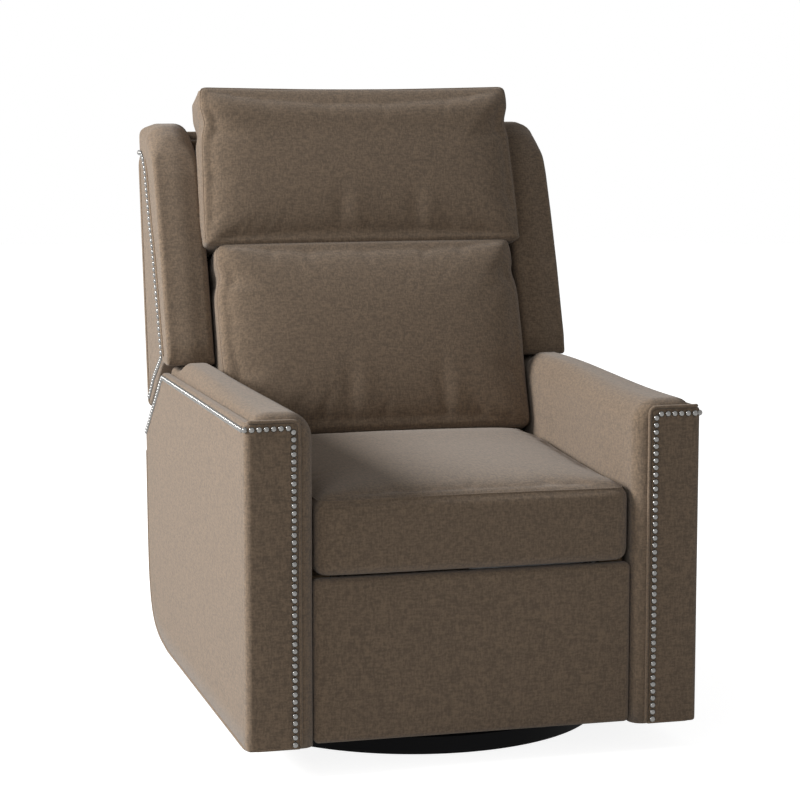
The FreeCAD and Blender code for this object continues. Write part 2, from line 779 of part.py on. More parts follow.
def wing_wire(x, inset):
    """Gives the wing's outline in the side plane, with its front and top drawn in."""
    back, down = Vector(0, inset, 0), Vector(0, 0, -inset)
    top = panel_line[1]
    foot = side_point(size.wing_foot_back, size.arm_top + size.wing_foot_gap) + back
    return Part.makePolygon([point + Vector(x, 0, 0) for point in (
        foot,
        side_point(size.wing_waist_back, size.wing_waist_height) + back,
        side_point(size.wing_shoulder_back, size.wing_shoulder_height) + back,
        side_point(size.wing_peak_back, size.wing_peak_height) + down,
        side_point(top.y - size.wing_round, size.wing_peak_height) + down,
        top,
        panel_line[0],
        wing_knee,
        foot,
    )])


wing_stations = ((wing_inner, size.wing_inner_round), (wing_inner + size.wing_inner_round, 0),
                 (size.half_width - size.wing_round, 0), (size.half_width, size.wing_round))
for side in SIDES:
    wires = [wing_wire(SIGN[side] * x, inset) for x, inset in wing_stations]
    keep(formed(f"wing_{side}", Part.makeLoft(wires, True, True)))

foot_along = (panel_line[0] - wing_knee).normalize()
foot_in = Vector(0, -foot_along.z, foot_along.y) * (size.trim_inset + size.trim_width / 2)
trim_route = [
    side_point(size.wing_trim_top_back, size.wing_trim_top_height),
    side_point(size.wing_trim_mid_back, size.wing_trim_mid_height),
    wing_knee + foot_in,
    panel_line[0] + foot_in,
]
trim_runs = []
for side in SIDES:
    outside = span(side, size.half_width, size.half_width + size.trim_proud)
    for start, end in zip(trim_route, trim_route[1:]):
        trim_runs.append(trim_run(start, end, *outside))
keep(formed("wing_nail_trim", Part.makeCompound(trim_runs)))


# Back cushion and headrest pillow

keep(formed("back_cushion", pillow(lambda x, up, deep: back_point(up, deep, x), crowned(
    size.back_depth, size.back_crown, size.back_edge_round, arm_inner - size.back_low_gap,
    wing_inner - size.back_high_gap, size.back_length, size.side_draw))))
keep(formed("headrest_pillow", pillow(lambda x, up, deep: head_point(up, deep, x), crowned(
    size.head_depth, size.head_crown, size.head_edge_round, wing_inner - size.head_low_gap,
    wing_inner - size.head_high_gap, size.head_length, size.side_draw))))


# Footrest linkage: two parallelograms on each side, so every link turns by the same angle or not at all

def ahead_point(forward, height):
    """Gives a point by its distance ahead of the swivel axis and its height."""
    return Vector(0, -forward, height)


fold = math.radians(size.fold_angle)
link_way = Vector(0, -math.cos(fold), math.sin(fold))
control_offset = Vector(0, -size.control_ahead, size.control_above)
front_pivot = ahead_point(size.front_pivot_forward, size.front_pivot_height)
control_pivot = front_pivot + control_offset
front_tip = front_pivot + link_way * size.front_link_length
control_tip = front_tip + control_offset
tilt_pivot = control_tip - link_way * size.tilt_arm
foot_pivot = ahead_point(foot_board_rear - size.foot_pivot_setback, size.foot_pivot_height)
foot_tilt_pivot = foot_pivot - link_way * size.tilt_arm
layers = [plate_inner - size.bracket_gap - index * size.layer_pitch for index in range(LINK_LAYERS)]


def layer_span(side, index):
    """Gives the X range of a layer of links, counted from the side plate inwards."""
    return span(side, layers[index] - size.link_thick, layers[index])


def rivet(side, index, centre):
    """Makes the rivet that stands on a layer's inner face and carries the next layer."""
    foot = layers[index] - size.link_thick
    return bore(centre, size.rivet_radius, *span(side, foot - size.rivet_reach, foot))


running = size.rivet_radius + size.running_gap
loose = size.rivet_radius + size.open_pivot_gap
half = size.link_half_width
studs = []
for side in SIDES:
    outer, middle, inner = (layer_span(side, index) for index in range(LINK_LAYERS))
    for pivot in (front_pivot, control_pivot):
        low, high = span(side, layers[0] - size.link_thick - size.face_gap, plate_inner)
        studs.append(bore(pivot, size.rivet_radius, low, high))
    bar = strap(front_pivot, front_tip, half, *outer).cut(bore(front_pivot, running, *outer))
    keep(formed(f"front_link_{side}", bar.fuse(rivet(side, 0, front_tip))))
    bar = strap(control_pivot, control_tip, half, *outer).cut(bore(control_pivot, running, *outer))
    keep(formed(f"control_link_{side}", bar.fuse([rivet(side, 0, control_tip), rivet(side, 0, tilt_pivot)])))
    bar = strap(control_tip, foot_pivot, half, *middle).fuse(strap(front_tip, control_tip, half, *middle))
    bar = bar.removeSplitter().cut([bore(front_tip, running, *middle), bore(control_tip, loose, *middle)])
    keep(formed(f"lift_link_{side}", bar.fuse(rivet(side, 1, foot_pivot))))
    bar = strap(tilt_pivot, foot_tilt_pivot, half, *middle).cut(bore(tilt_pivot, running, *middle))
    keep(formed(f"tilt_link_{side}", bar.fuse(rivet(side, 1, foot_tilt_pivot))))
keep(formed("footrest_pivot_studs", Part.makeCompound(studs)))

tube_centre = front_pivot + link_way * size.torque_tube_reach
tube_half = layers[0] - size.link_thick
tube = bore(tube_centre, size.torque_tube_radius, -tube_half, tube_half)
tube_hollow = bore(tube_centre, size.torque_tube_radius - size.torque_tube_wall, -tube_half, tube_half)
keep(formed("torque_tube", tube.cut(tube_hollow)))


# Footrest panel: a padded board with a bracket on each side

board_rear = -foot_board_rear
board_half = f"{SEAT_HALF} - foot_board_margin"
keep(block("footrest_board", both_ways(board_half),
           (f"-({FOOT_BOARD_REAR}) - foot_board_thick", f"-({FOOT_BOARD_REAR})"),
           (f"{FOOT_BOTTOM} + foot_board_margin", f"{FOOT_TOP} - foot_board_margin")))


def foot_place(x, up, deep):
    """Stands the pad upright: its face looks forward."""
    return Vector(x, deep - foot_forward + size.foot_crown, foot_bottom + up)


keep(formed("footrest_pad", pillow(foot_place, crowned(
    size.foot_pad_thick - size.foot_crown, size.foot_crown, size.foot_edge_round, cushion_half, cushion_half,
    foot_top - foot_bottom, size.foot_draw))))

for side in SIDES:
    low, high = layer_span(side, 2)
    margin = size.link_half_width
    plate = prism([
        side_point(foot_pivot.y + margin, foot_pivot.z - size.foot_bracket_margin),
        side_point(board_rear, foot_pivot.z - size.foot_bracket_margin),
        side_point(board_rear, foot_tilt_pivot.z + margin),
        side_point(foot_tilt_pivot.y + margin, foot_tilt_pivot.z + margin),
    ], low, high)
    flange_x = span(side, layers[2] - size.link_thick - size.foot_flange_width, layers[2] - size.link_thick)
    flange = Part.makeBox(size.foot_flange_width, size.foot_flange_thick,
                          foot_tilt_pivot.z - foot_pivot.z + margin + size.foot_bracket_margin,
                          Vector(flange_x[0], board_rear, foot_pivot.z - size.foot_bracket_margin))
    bracket = plate.fuse(flange).removeSplitter()
    bracket = bracket.cut([bore(foot_pivot, running, low, high), bore(foot_tilt_pivot, loose, low, high)])
    keep(formed(f"footrest_bracket_{side}", bracket))


# Checks every object and writes the sub-parts

doc.recompute()
for item in doc.Objects:
    if "Invalid" in item.State or "Error" in item.State:
        raise RuntimeError(f"{item.Label} failed: {item.State}")
os.makedirs("parts", exist_ok=True)
for label, piece in nodes.items():
    if piece.Shape.isNull() or not piece.Shape.isValid() or not piece.Shape.Solids:
        raise RuntimeError(f"{label} has no valid solid")
    piece.Shape.exportStep(f"parts/{label}.step")
print(len(nodes), "sub-parts written")
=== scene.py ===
"""Dresses the wall hugger recliner: cushions, covers, welts, nail heads, finishes and light.

Metres, in the frame of the solids: floor at Z 0, swivel axis on Z, and the chair faces -Y.
"""

import json
import logging
import math
from abc import ABC, abstractmethod
from collections.abc import Callable, Sequence
from dataclasses import dataclass, field
from enum import Enum

import bmesh
import bpy
import numpy as np
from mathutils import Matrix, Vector
from mathutils.bvhtree import BVHTree


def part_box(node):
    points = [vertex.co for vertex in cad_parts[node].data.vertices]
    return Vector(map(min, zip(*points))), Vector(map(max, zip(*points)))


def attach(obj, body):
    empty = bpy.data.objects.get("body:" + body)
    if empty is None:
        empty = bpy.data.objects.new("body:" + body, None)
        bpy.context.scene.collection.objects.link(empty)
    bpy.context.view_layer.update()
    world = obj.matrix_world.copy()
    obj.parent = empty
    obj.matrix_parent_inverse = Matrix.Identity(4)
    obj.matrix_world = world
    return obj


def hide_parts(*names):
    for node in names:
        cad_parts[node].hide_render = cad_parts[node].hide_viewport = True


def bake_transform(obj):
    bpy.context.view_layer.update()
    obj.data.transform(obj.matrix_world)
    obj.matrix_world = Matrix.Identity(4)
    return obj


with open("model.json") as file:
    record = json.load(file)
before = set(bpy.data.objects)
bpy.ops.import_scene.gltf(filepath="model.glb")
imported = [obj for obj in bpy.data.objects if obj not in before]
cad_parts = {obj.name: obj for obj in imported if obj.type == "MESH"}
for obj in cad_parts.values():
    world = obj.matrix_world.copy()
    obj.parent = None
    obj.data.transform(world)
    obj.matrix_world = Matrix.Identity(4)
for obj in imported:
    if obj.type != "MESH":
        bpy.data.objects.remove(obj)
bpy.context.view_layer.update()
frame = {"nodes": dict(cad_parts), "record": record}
LOG = logging.getLogger("recliner")
SMALL = 1e-6

Array = np.ndarray
Piece = bpy.types.Object
Material = bpy.types.Material
Socket = bpy.types.NodeSocket
Tree = bpy.types.NodeTree
# A pair that eases holds where it starts and its span, and a pair for a groove its depth and width.
Pair = tuple[float, float]
# A triple for a bump holds its height, middle and width.
Triple = tuple[float, float, float]
# A row of nails: its path, and the direction that the heads face.
Run = tuple[Array, Array]


class Side(Enum):
    """The two sides of the chair, with the sign of their X."""

    LEFT = -1
    RIGHT = 1

    @property
    def label(self) -> str:
        """Gives the side's name as the nodes spell it."""
        return self.name.lower()


class Body(Enum):
    """The moving bodies that carry a dressed piece."""

    CARRIAGE = "carriage"
    BACK = "back"
    FOOTREST = "footrest"


# Shapes as arrays


def smoothstep(value: Array) -> Array:
    """Gives 3t^2 - 2t^3 of a value held between 0 and 1."""
    held = np.clip(value, 0.0, 1.0)
    return held * held * (3.0 - 2.0 * held)


def ridge(distance: Array, width: float) -> Array:
    """Gives exp(-(d / w)^2), a rounded bump of 1 at no distance."""
    return np.exp(-np.square(distance / width))


def eased(value: Array, start: float, span: float) -> Array:
    """Gives a smooth step that is 0 up to the start and 1 from a span later."""
    return smoothstep((value - start) / span)


def bulge(value: Array, height: float, middle: float, width: float) -> Array:
    """Gives a rounded bump of a height, a middle and a width."""
    return height * ridge(value - middle, width)


def even_path(points: Sequence[Sequence[float]], spacing: float, soften: float,
              closed: bool = False) -> Array:
    """Resamples a line at an even spacing and rounds its corners.

    The line is read at equal arc lengths, then each coordinate is averaged under a Hann window.

    Args:
        points: Corners of the line, two or three coordinates each.
        spacing: Distance between samples.
        soften: Half width of the window, about the radius of a rounded corner.
        closed: Whether the last corner joins the first.

    Returns:
        The samples, one row each.
    """
    corners = np.asarray(points, float)
    if closed:
        corners = np.vstack([corners, corners[:1]])
    steps = np.linalg.norm(np.diff(corners, axis=0), axis=1)
    reach = np.concatenate([[0.0], np.cumsum(steps)])
    count = max(4, int(round(reach[-1] / spacing)))
    places = np.linspace(0.0, reach[-1], count, endpoint=not closed)
    line = np.stack([np.interp(places, reach, column) for column in corners.T], axis=1)
    half = int(round(soften / spacing))
    if half < 1:
        return line
    window = np.hanning(2 * half + 3)[1:-1]
    window /= window.sum()
    if closed:
        padded = np.vstack([line[-half:], line, line[:half]])
    else:
        before = 2.0 * line[0] - line[half:0:-1]
        after = 2.0 * line[-1] - line[-2:-half - 2:-1]
        padded = np.vstack([before, line, after])
    return np.stack([np.convolve(column, window, "valid") for column in padded.T], axis=1)


def grid_faces(rows: int, columns: int, wrap: bool) -> Array:
    """Gives the quads of a grid of points, row by row.

    Args:
        rows: Number of rows.
        columns: Number of points in a row.
        wrap: Whether each row closes on itself.

    Returns:
        Four point numbers for each quad.
    """
    cells = columns if wrap else columns - 1
    row, column = np.meshgrid(np.arange(rows - 1), np.arange(cells), indexing="ij")
    beside = (column + 1) % columns
    quads = [row * columns + column, row * columns + beside,
             (row + 1) * columns + beside, (row + 1) * columns + column]
    return np.stack(quads, axis=-1).reshape(-1, 4)


def make_piece(name: str, points: Array, faces: Array) -> Piece:
    """Puts arrays into a smooth mesh object, closes its seams and turns its faces outwards.

    Args:
        name: Name of the piece.
        points: Points in the chair's frame.
        faces: Point numbers of the faces.

    Returns:
        The new object, at the origin.
    """
    mesh = bpy.data.meshes.new(name)
    mesh.from_pydata(points.reshape(-1, 3).tolist(), [], faces.tolist())
    solid = bmesh.new()
    solid.from_mesh(mesh)
    bmesh.ops.remove_doubles(solid, verts=solid.verts, dist=SMALL)
    bmesh.ops.recalc_face_normals(solid, faces=solid.faces)
    solid.to_mesh(mesh)
    solid.free()
    mesh.polygons.foreach_set("use_smooth", np.ones(len(mesh.polygons), bool))
    piece = bpy.data.objects.new(name, mesh)
    bpy.context.collection.objects.link(piece)
    return piece


def read_rows(mesh: bpy.types.Mesh, what: str) -> Array:
    """Reads one vector of every point of a mesh.

    Args:
        mesh: The mesh.
        what: Blender's name for the vector.

    Returns:
        The vectors as rows.
    """
    flat = np.empty(3 * len(mesh.vertices))
    mesh.vertices.foreach_get(what, flat)
    return flat.reshape(-1, 3)


def read_points(mesh: bpy.types.Mesh) -> Array:
    """Gives a mesh's points as rows."""
    return read_rows(mesh, "co")


def read_normals(mesh: bpy.types.Mesh) -> Array:
    """Gives a mesh's point normals as rows."""
    return read_rows(mesh, "normal")


def write_points(mesh: bpy.types.Mesh, points: Array) -> None:
    """Puts rows of points back into a mesh."""
    mesh.vertices.foreach_set("co", points.ravel())
    mesh.update()


def bake(piece: Piece) -> None:
    """Applies a piece's modifiers to its mesh.

    Args:
        piece: The piece.
    """
    shown = piece.evaluated_get(bpy.context.evaluated_depsgraph_get())
    mesh = bpy.data.meshes.new_from_object(shown)
    old = piece.data
    piece.modifiers.clear()
    piece.data = mesh
    bpy.data.meshes.remove(old)
    mesh.name = piece.name


def boxed_form(half: Array, rounding: float, cells: int = 44) -> tuple[Array, Array]:
    """Makes a box with round edges, centred on the origin.

    Each of the six faces is a grid (s, t). A point p of the sharp box becomes
    c + r (p - c) / |p - c|, where c is the nearest point of the box that is r smaller on every
    side.

    Args:
        half: Half sizes along X, Y and Z.
        rounding: Edge radius r.
        cells: Cells along each side of a face, closer together near the edges.

    Returns:
        The points and the faces.
    """
    ticks = np.sin(np.linspace(-math.pi / 2, math.pi / 2, cells + 1))
    s, t = np.meshgrid(ticks, ticks, indexing="ij")
    patches = []
    for axis in range(3):
        for sign in (-1.0, 1.0):
            patch = np.empty(s.shape + (3,))
            patch[..., axis] = sign
            patch[..., (axis + 1) % 3] = s * sign
            patch[..., (axis + 2) % 3] = t
            patches.append(patch)
    points = np.array(patches) * half
    core = np.clip(points, rounding - half, half - rounding)
    away = points - core
    points = core + rounding * away / np.linalg.norm(away, axis=-1, keepdims=True)
    single = grid_faces(cells + 1, cells + 1, wrap=False)[:, ::-1]
    faces = np.vstack([single + number * (cells + 1) ** 2 for number in range(len(patches))])
    return points.reshape(-1, 3), faces


@dataclass
class Slab:
    """A padded slab: an outline with thickness, rounded edges and softly crowned faces.

    Row by row the outline P(s) is drawn in by r (1 - cos a) while the thickness grows by r sin a
    round each edge. Across a face it shrinks towards its middle, and the face stands out by
    h f(p) f(q), where f = 1 - exp(-d / softness) at distance d from the ends of the outline along
    each of its two axes.
    """

    outline: Array
    low: float
    high: float
    round_low: Array | float
    round_high: Array | float
    crown_low: float = 0.0
    crown_high: float = 0.0
    softness: float = 0.04
    band_rows: Array = field(default_factory=lambda: np.linspace(0.0, 1.0, 6))
    corner_rows: int = 6
    face_rows: int = 14

    def build(self) -> tuple[Array, Array, Array]:
        """Works out the slab's points.

        Returns:
            The points as (row, place along the outline, (first, second, thickness)), the share of
            the thickness each row lies at on the band, or -1 off it, and the quads.
        """
        outline = np.asarray(self.outline, float)
        following = np.roll(outline, -1, axis=0)
        along = following - np.roll(outline, 1, axis=0)
        along /= np.linalg.norm(along, axis=1, keepdims=True)
        turning = np.sum(outline[:, 0] * following[:, 1] - following[:, 0] * outline[:, 1])
        inward = np.stack([-along[:, 1], along[:, 0]], axis=1) * np.sign(turning)
        ones = np.ones(len(outline))
        rows, shares = [], []
        turns = np.linspace(0.0, math.pi / 2, self.corner_rows)[1:, None]
        shrink = np.linspace(1.0, 0.0, self.face_rows + 1)[1:, None, None]
        for sign, face, rounding, crown in ((-1, self.low, self.round_low, self.crown_low),
                                            (1, self.high, self.round_high, self.crown_high)):
            radius = rounding * ones
            edge = outline[None] + inward[None] * (radius * (1.0 - np.cos(turns)))[..., None]
            depth = face - sign * radius * (1.0 - np.sin(turns))
            ring = edge[-1]
            middle = ring.mean(axis=0)
            inner = middle + (ring - middle)[None] * shrink
            gap = np.minimum(inner - ring.min(axis=0), ring.max(axis=0) - inner)
            puffed = face + sign * crown * np.prod(1.0 - np.exp(-gap / self.softness), axis=-1)
            part = np.vstack([np.dstack([edge, depth]), np.dstack([inner, puffed])])
            rows.append(part if sign > 0 else part[::-1])
            shares.append(-np.ones(len(part)))
        start = self.low + self.round_low * ones
        end = self.high - self.round_high * ones
        band = np.empty((len(self.band_rows), len(outline), 3))
        band[..., :2] = outline[None]
        band[..., 2] = start + (end - start) * np.asarray(self.band_rows)[:, None]
        points = np.vstack([rows[0], band, rows[1]])
        share = np.concatenate([shares[0], self.band_rows, shares[1]])
        return points, share, grid_faces(len(points), len(outline), wrap=True)


def tube_arrays(path: Array, radius: float, across: Array, segments: int) -> tuple[Array, Array]:
    """Carries a circle along a path.

    A point is P + r (cos a * e + sin a * f), with e square to the path and to the given direction.

    Args:
        path: Points of the path.
        radius: Radius of the circle.
        across: A direction that the path never follows.
        segments: Points of the circle.

    Returns:
        The points and the quads. The ends are drawn to a point.
    """
    along = np.gradient(path, axis=0)
    along /= np.linalg.norm(along, axis=1, keepdims=True)
    first = np.cross(along, across)
    first /= np.linalg.norm(first, axis=1, keepdims=True)
    second = np.cross(along, first)
    turn = np.linspace(0.0, 2.0 * math.pi, segments, endpoint=False)[None, :, None]
    ring = np.cos(turn) * first[:, None] + np.sin(turn) * second[:, None]
    size = np.full(len(path), radius)
    size[[0, -1]] = 0.0
    points = path[:, None] + ring * size[:, None, None]
    return points, grid_faces(len(path), segments, wrap=True)


def merge_arrays(parts: Sequence[tuple[Array, Array]]) -> tuple[Array, Array]:
    """Joins several sets of points and faces into one.

    Args:
        parts: Pairs of points and faces.

    Returns:
        All the points and all the faces.
    """
    points, faces, start = [], [], 0
    for part_points, part_faces in parts:
        flat = part_points.reshape(-1, 3)
        points.append(flat)
        faces.append(part_faces + start)
        start += len(flat)
    return np.vstack(points), np.vstack(faces)


def laid_on(piece: Piece, starts: Array, ends: Array) -> Array:
    """Finds where lines from outside a piece meet its surface.

    Args:
        piece: The piece.
        starts: Start of each line, outside the piece.
        ends: End of each line, inside it.

    Returns:
        The places on the surface, or the end where a line misses.
    """
    mesh = piece.data
    faces = [tuple(face.vertices) for face in mesh.polygons]
    tree = BVHTree.FromPolygons(read_points(mesh).tolist(), faces)
    found = [tree.ray_cast(Vector(start), Vector(end - start))[0]
             for start, end in zip(starts, ends)]
    return np.array([end if place is None else place for place, end in zip(found, ends)])


def rectangle(low: Pair, high: Pair, spacing: float, rounding: float) -> Array:
    """Gives the outline of a rectangle with rounded corners.

    Args:
        low: Its lower left corner.
        high: Its upper right corner.
        spacing: Distance between samples.
        rounding: About the radius of the corners.

    Returns:
        The samples, one row each.
    """
    corners = [low, (high[0], low[1]), high, (low[0], high[1])]
    return even_path(corners, spacing, rounding, closed=True)


# Finishes


def link(tree: Tree, value: object, socket: Socket) -> None:
    """Sets a socket, or links another socket to it.

    Args:
        tree: The node tree.
        value: The value, or the socket that gives it.
        socket: The socket that takes it.
    """
    if isinstance(value, Socket):
        tree.links.new(value, socket)
    else:
        socket.default_value = value


def calculate(tree: Tree, operation: str, *values: object) -> Socket:
    """Adds a node that works out a sum.

    Args:
        tree: The node tree.
        operation: Blender's name for the sum.
        values: The numbers or sockets that it works on.

    Returns:
        The socket with the result.
    """
    node = tree.nodes.new("ShaderNodeMath")
    node.operation = operation
    for socket, value in zip(node.inputs, values):
        link(tree, value, socket)
    return node.outputs[0]


class Sheet:
    """A material's node tree, with short calls to add nodes and join them."""

    def __init__(self, name: str) -> None:
        """Starts a material with a shader and an output.

        Args:
            name: Name of the material.
        """
        self.material = bpy.data.materials.new(name)
        self.material.use_nodes = True
        self.tree = self.material.node_tree
        self.tree.nodes.clear()
        self.shader = self.add("ShaderNodeBsdfPrincipled")
        output = self.add("ShaderNodeOutputMaterial")
        self.tree.links.new(self.shader.outputs[0], output.inputs["Surface"])
        self.coordinates = self.add("ShaderNodeTexCoord").outputs["Object"]

    def add(self, kind: str, **inputs: object) -> bpy.types.Node:
        """Adds a node and sets or links its inputs.

        Args:
            kind: Blender's name for the node.
            inputs: Values or sockets by input name, with _ for a space.

        Returns:
            The node.
        """
        node = self.tree.nodes.new(kind)
        self.put(node, **inputs)
        return node

    def put(self, node: bpy.types.Node, **inputs: object) -> None:
        """Sets or links a node's inputs by name, with _ for a space."""
        for name, value in inputs.items():
            link(self.tree, value, node.inputs[name.replace("_", " ")])

    def noise(self, scale: Sequence[float], detail: float, roughness: float) -> Socket:
        """Adds a noise on the piece's own coordinates.

        Args:
            scale: Cells to the metre along each axis.
            detail: Number of finer layers.
            roughness: Weight of the finer layers.

        Returns:
            The socket with the noise.
        """
        place = self.add("ShaderNodeMapping", Vector=self.coordinates, Scale=tuple(scale))
        return self.add("ShaderNodeTexNoise", Vector=place.outputs[0], Scale=1.0, Detail=detail,
                        Roughness=roughness).outputs[0]

    def ramp(self, value: Socket, stops: Sequence[tuple[float, Sequence[float]]]) -> Socket:
        """Adds a colour ramp.

        Args:
            value: The socket that picks the colour.
            stops: Pairs of place and colour, in order.

        Returns:
            The socket with the colour.
        """
        node = self.add("ShaderNodeValToRGB", Fac=value)
        elements = node.color_ramp.elements
        while len(elements) < len(stops):
            elements.new(0.5)
        for element, (place, colour) in zip(elements, stops):
            element.position = place
            element.color = (*colour, 1.0)
        return node.outputs["Color"]

    def bump(self, height: Socket, strength: float, distance: float) -> None:
        """Sends a height to the shader's normal."""
        node = self.add("ShaderNodeBump", Height=height, Strength=strength, Distance=distance)
        self.put(self.shader, Normal=node.outputs[0])


def shade(colour: Sequence[float], factor: float) -> tuple[float, ...]:
    """Gives a colour made darker or lighter by a factor."""
    return tuple(channel * factor for channel in colour)


@dataclass(frozen=True)
class Tweed:
    """A plain weave of slubbed yarns in close shades, with a soft nap.

    The layers are the detail and roughness of its noise, the relief its strength and depth.
    """

    name: str
    colour: Triple
    contrast: float
    yarn: float
    slub: float
    nap: float
    nap_roughness: float = 0.75
    nap_tint: tuple[float, ...] = (1.0, 0.97, 0.94, 1.0)
    layers: Pair = (1.0, 0.5)
    stops: Triple = (0.40, 0.50, 0.60)
    roughness: float = 0.92
    specular: float = 0.04
    relief: Pair = (0.45, 0.0014)

    def build(self) -> Material:
        """Makes the material: the mean of three noises, each drawn out along one axis as a slub.

        Returns:
            The material.
        """
        sheet = Sheet(self.name)
        fine, long = 1.0 / self.yarn, 1.0 / self.slub
        scales = ((long, fine, fine), (fine, long, fine), (fine, fine, long))
        first, second, third = [sheet.noise(scale, *self.layers) for scale in scales]
        total = calculate(sheet.tree, "ADD", calculate(sheet.tree, "ADD", first, second), third)
        weave = calculate(sheet.tree, "DIVIDE", total, float(len(scales)))
        tones = (1.0 - self.contrast, 1.0, 1.0 + self.contrast)
        stops = [(place, shade(self.colour, tone)) for place, tone in zip(self.stops, tones)]
        sheet.put(sheet.shader, Base_Color=sheet.ramp(weave, stops), Roughness=self.roughness,
                  Sheen_Weight=self.nap, Sheen_Roughness=self.nap_roughness,
                  Sheen_Tint=self.nap_tint, Specular_IOR_Level=self.specular)
        sheet.bump(weave, *self.relief)
        return sheet.material


@dataclass(frozen=True)
class Grained:
    """A hard finish whose colour and gloss vary with a stretched grain.

    The layers are the detail and roughness of its noise, the gloss its least and most roughness.
    """

    name: str
    colour: Triple
    contrast: float
    gloss: Pair
    grain: Triple
    metal: float = 0.0
    relief: float = 0.0003
    specular: float = 0.5
    layers: Pair = (4.0, 0.6)
    stops: Pair = (0.3, 0.7)
    bump: float = 0.3

    def build(self) -> Material:
        """Makes the material from one grain that drives colour, roughness and relief.

        Returns:
            The material.
        """
        sheet = Sheet(self.name)
        grain = sheet.noise(self.grain, *self.layers)
        tones = (1.0 - self.contrast, 1.0 + self.contrast)
        stops = [(place, shade(self.colour, tone)) for place, tone in zip(self.stops, tones)]
        low, high = self.gloss
        roughness = calculate(sheet.tree, "MULTIPLY_ADD", grain, high - low, low)
        sheet.put(sheet.shader, Base_Color=sheet.ramp(grain, stops), Roughness=roughness,
                  Metallic=self.metal, Specular_IOR_Level=self.specular)
        sheet.bump(grain, self.bump, self.relief)
        return sheet.material


TWEED = Tweed("brown_tweed", (0.160, 0.109, 0.067), contrast=0.29, yarn=0.0029, slub=0.012,
              nap=0.25)
PIPING = Tweed("brown_piping", (0.174, 0.119, 0.074), contrast=0.24, yarn=0.0020, slub=0.006,
               nap=0.25)
FINISHES = {
    "upholstery": TWEED,
    "nail_trim": Grained("bright_nickel", (0.21, 0.206, 0.198), 0.10, (0.20, 0.32), (60, 60, 60),
                         metal=1.0, relief=0.0001),
    "frame_wood": Grained("bare_hardwood", (0.52, 0.37, 0.22), 0.22, (0.5, 0.75), (26, 90, 90),
                          relief=0.0006),
    "webbing": Grained("seat_webbing_cloth", (0.07, 0.06, 0.055), 0.45, (0.8, 0.95),
                       (700, 140, 300), relief=0.0010),
    "felt": Grained("floor_felt", (0.025, 0.025, 0.025), 0.5, (0.9, 1.0), (900, 900, 900),
                    relief=0.0012),
    "base_black": Grained("satin_black_lacquer", (0.006, 0.006, 0.0065), 0.35, (0.55, 0.70),
                          (9, 60, 60), relief=0.0002, specular=0.08),
    "glide_nylon": Grained("natural_nylon", (0.72, 0.70, 0.64), 0.05, (0.35, 0.5),
                           (180, 180, 180)),
    "zinc_steel": Grained("zinc_plate", (0.60, 0.60, 0.57), 0.16, (0.25, 0.45), (240, 240, 240),
                          metal=1.0),
    "mechanism_steel": Grained("black_powder_coat", (0.022, 0.022, 0.024), 0.3, (0.42, 0.6),
                               (650, 650, 650), relief=0.0004),
}


class Wardrobe:
    """Holds the finished materials and dresses pieces in them."""

    def __init__(self) -> None:
        """Builds every finish once and dresses the solids that stay."""
        self.cloth = {slot: finish.build() for slot, finish in FINISHES.items()}
        self.piping = PIPING.build()
        for part in frame["record"]["subparts"]:
            self.paint(frame["nodes"][part["node"]], self.cloth[part["material_slot"]])

    def paint(self, piece: Piece, material: Material) -> None:
        """Gives a piece one material."""
        piece.data.materials.clear()
        piece.data.materials.append(material)

    def dress(self, piece: Piece, body: Body, slot: str, *nodes: str, fill: float | None = None,
              piped: bool = False) -> None:
        """Gives a new piece its finish, its body and the solids it stands for.

        Args:
            piece: The new piece.
            body: The body that carries it.
            slot: Slot of its finish.
            nodes: Solids that it replaces.
            fill: How full it is stuffed, for a padded piece; not used.
            piped: Whether it takes the finer weave of the piping.
        """
        self.paint(piece, self.piping if piped else self.cloth[slot])
        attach(piece, body.value)
        if nodes:
            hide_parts(*nodes)
        LOG.info("%s rides on %s, %d faces", piece.name, body.value, len(piece.data.polygons))

    def upholster(self, piece: Piece, body: Body, node: str, fill: float) -> None:
        """Dresses a padded cover that stands for one solid."""
        self.dress(piece, body, "upholstery", node, fill=fill)

    def pipe(self, name: str, body: Body, path: Array, radius: float, across: Sequence[float],
             segments: int = 8) -> None:
        """Lays piping along a path.

        Args:
            name: Name of the piece.
            body: The body that carries it.
            path: Points of its middle line.
            radius: Radius of the piping.
            across: A direction that the path never follows.
            segments: Points round the piping.
        """
        piece = make_piece(name, *tube_arrays(path, radius, np.array(across), segments))
        self.dress(piece, body, "upholstery", piped=True)


# Cushions

# How far the arms' inner faces stand back, and where along Y that comes in and goes out again.
ARM_FLARE = 0.022
FLARE_IN = (-0.30, 0.40)
FLARE_OUT = (0.47, 0.055)
CROWN_POWER = 0.6
# The cloth that blows a cushion up.
PRESSURE = 4.0
CLOTH_MASS = 0.3
CLOTH_QUALITY = 4
CLOTH_FRAMES = 20
# The ridge of a cushion's seam: step along it, radius, points round it, and how far outside and
# inside the block the lines start and end that lay it on the cushion.
SEAM_STEP = 0.006
SEAM_RADIUS = 0.0014
SEAM_SEGMENTS = 6
SEAM_OUTSIDE = (1.25, 1.25, 1.0)
SEAM_INSIDE = 0.8
# A pull: depth and width of its valley, then height, distance, width and length of its fold.
VALLEY = (0.0017, 0.016)
FOLD = (0.0011, 0.026, 0.020, 1.2)


def arm_flare(y: Array) -> Array:
    """Gives how far the arms' inner faces stand back at Y: a length faded in and out by steps."""
    return ARM_FLARE * (eased(y, *FLARE_IN) - eased(y, *FLARE_OUT))


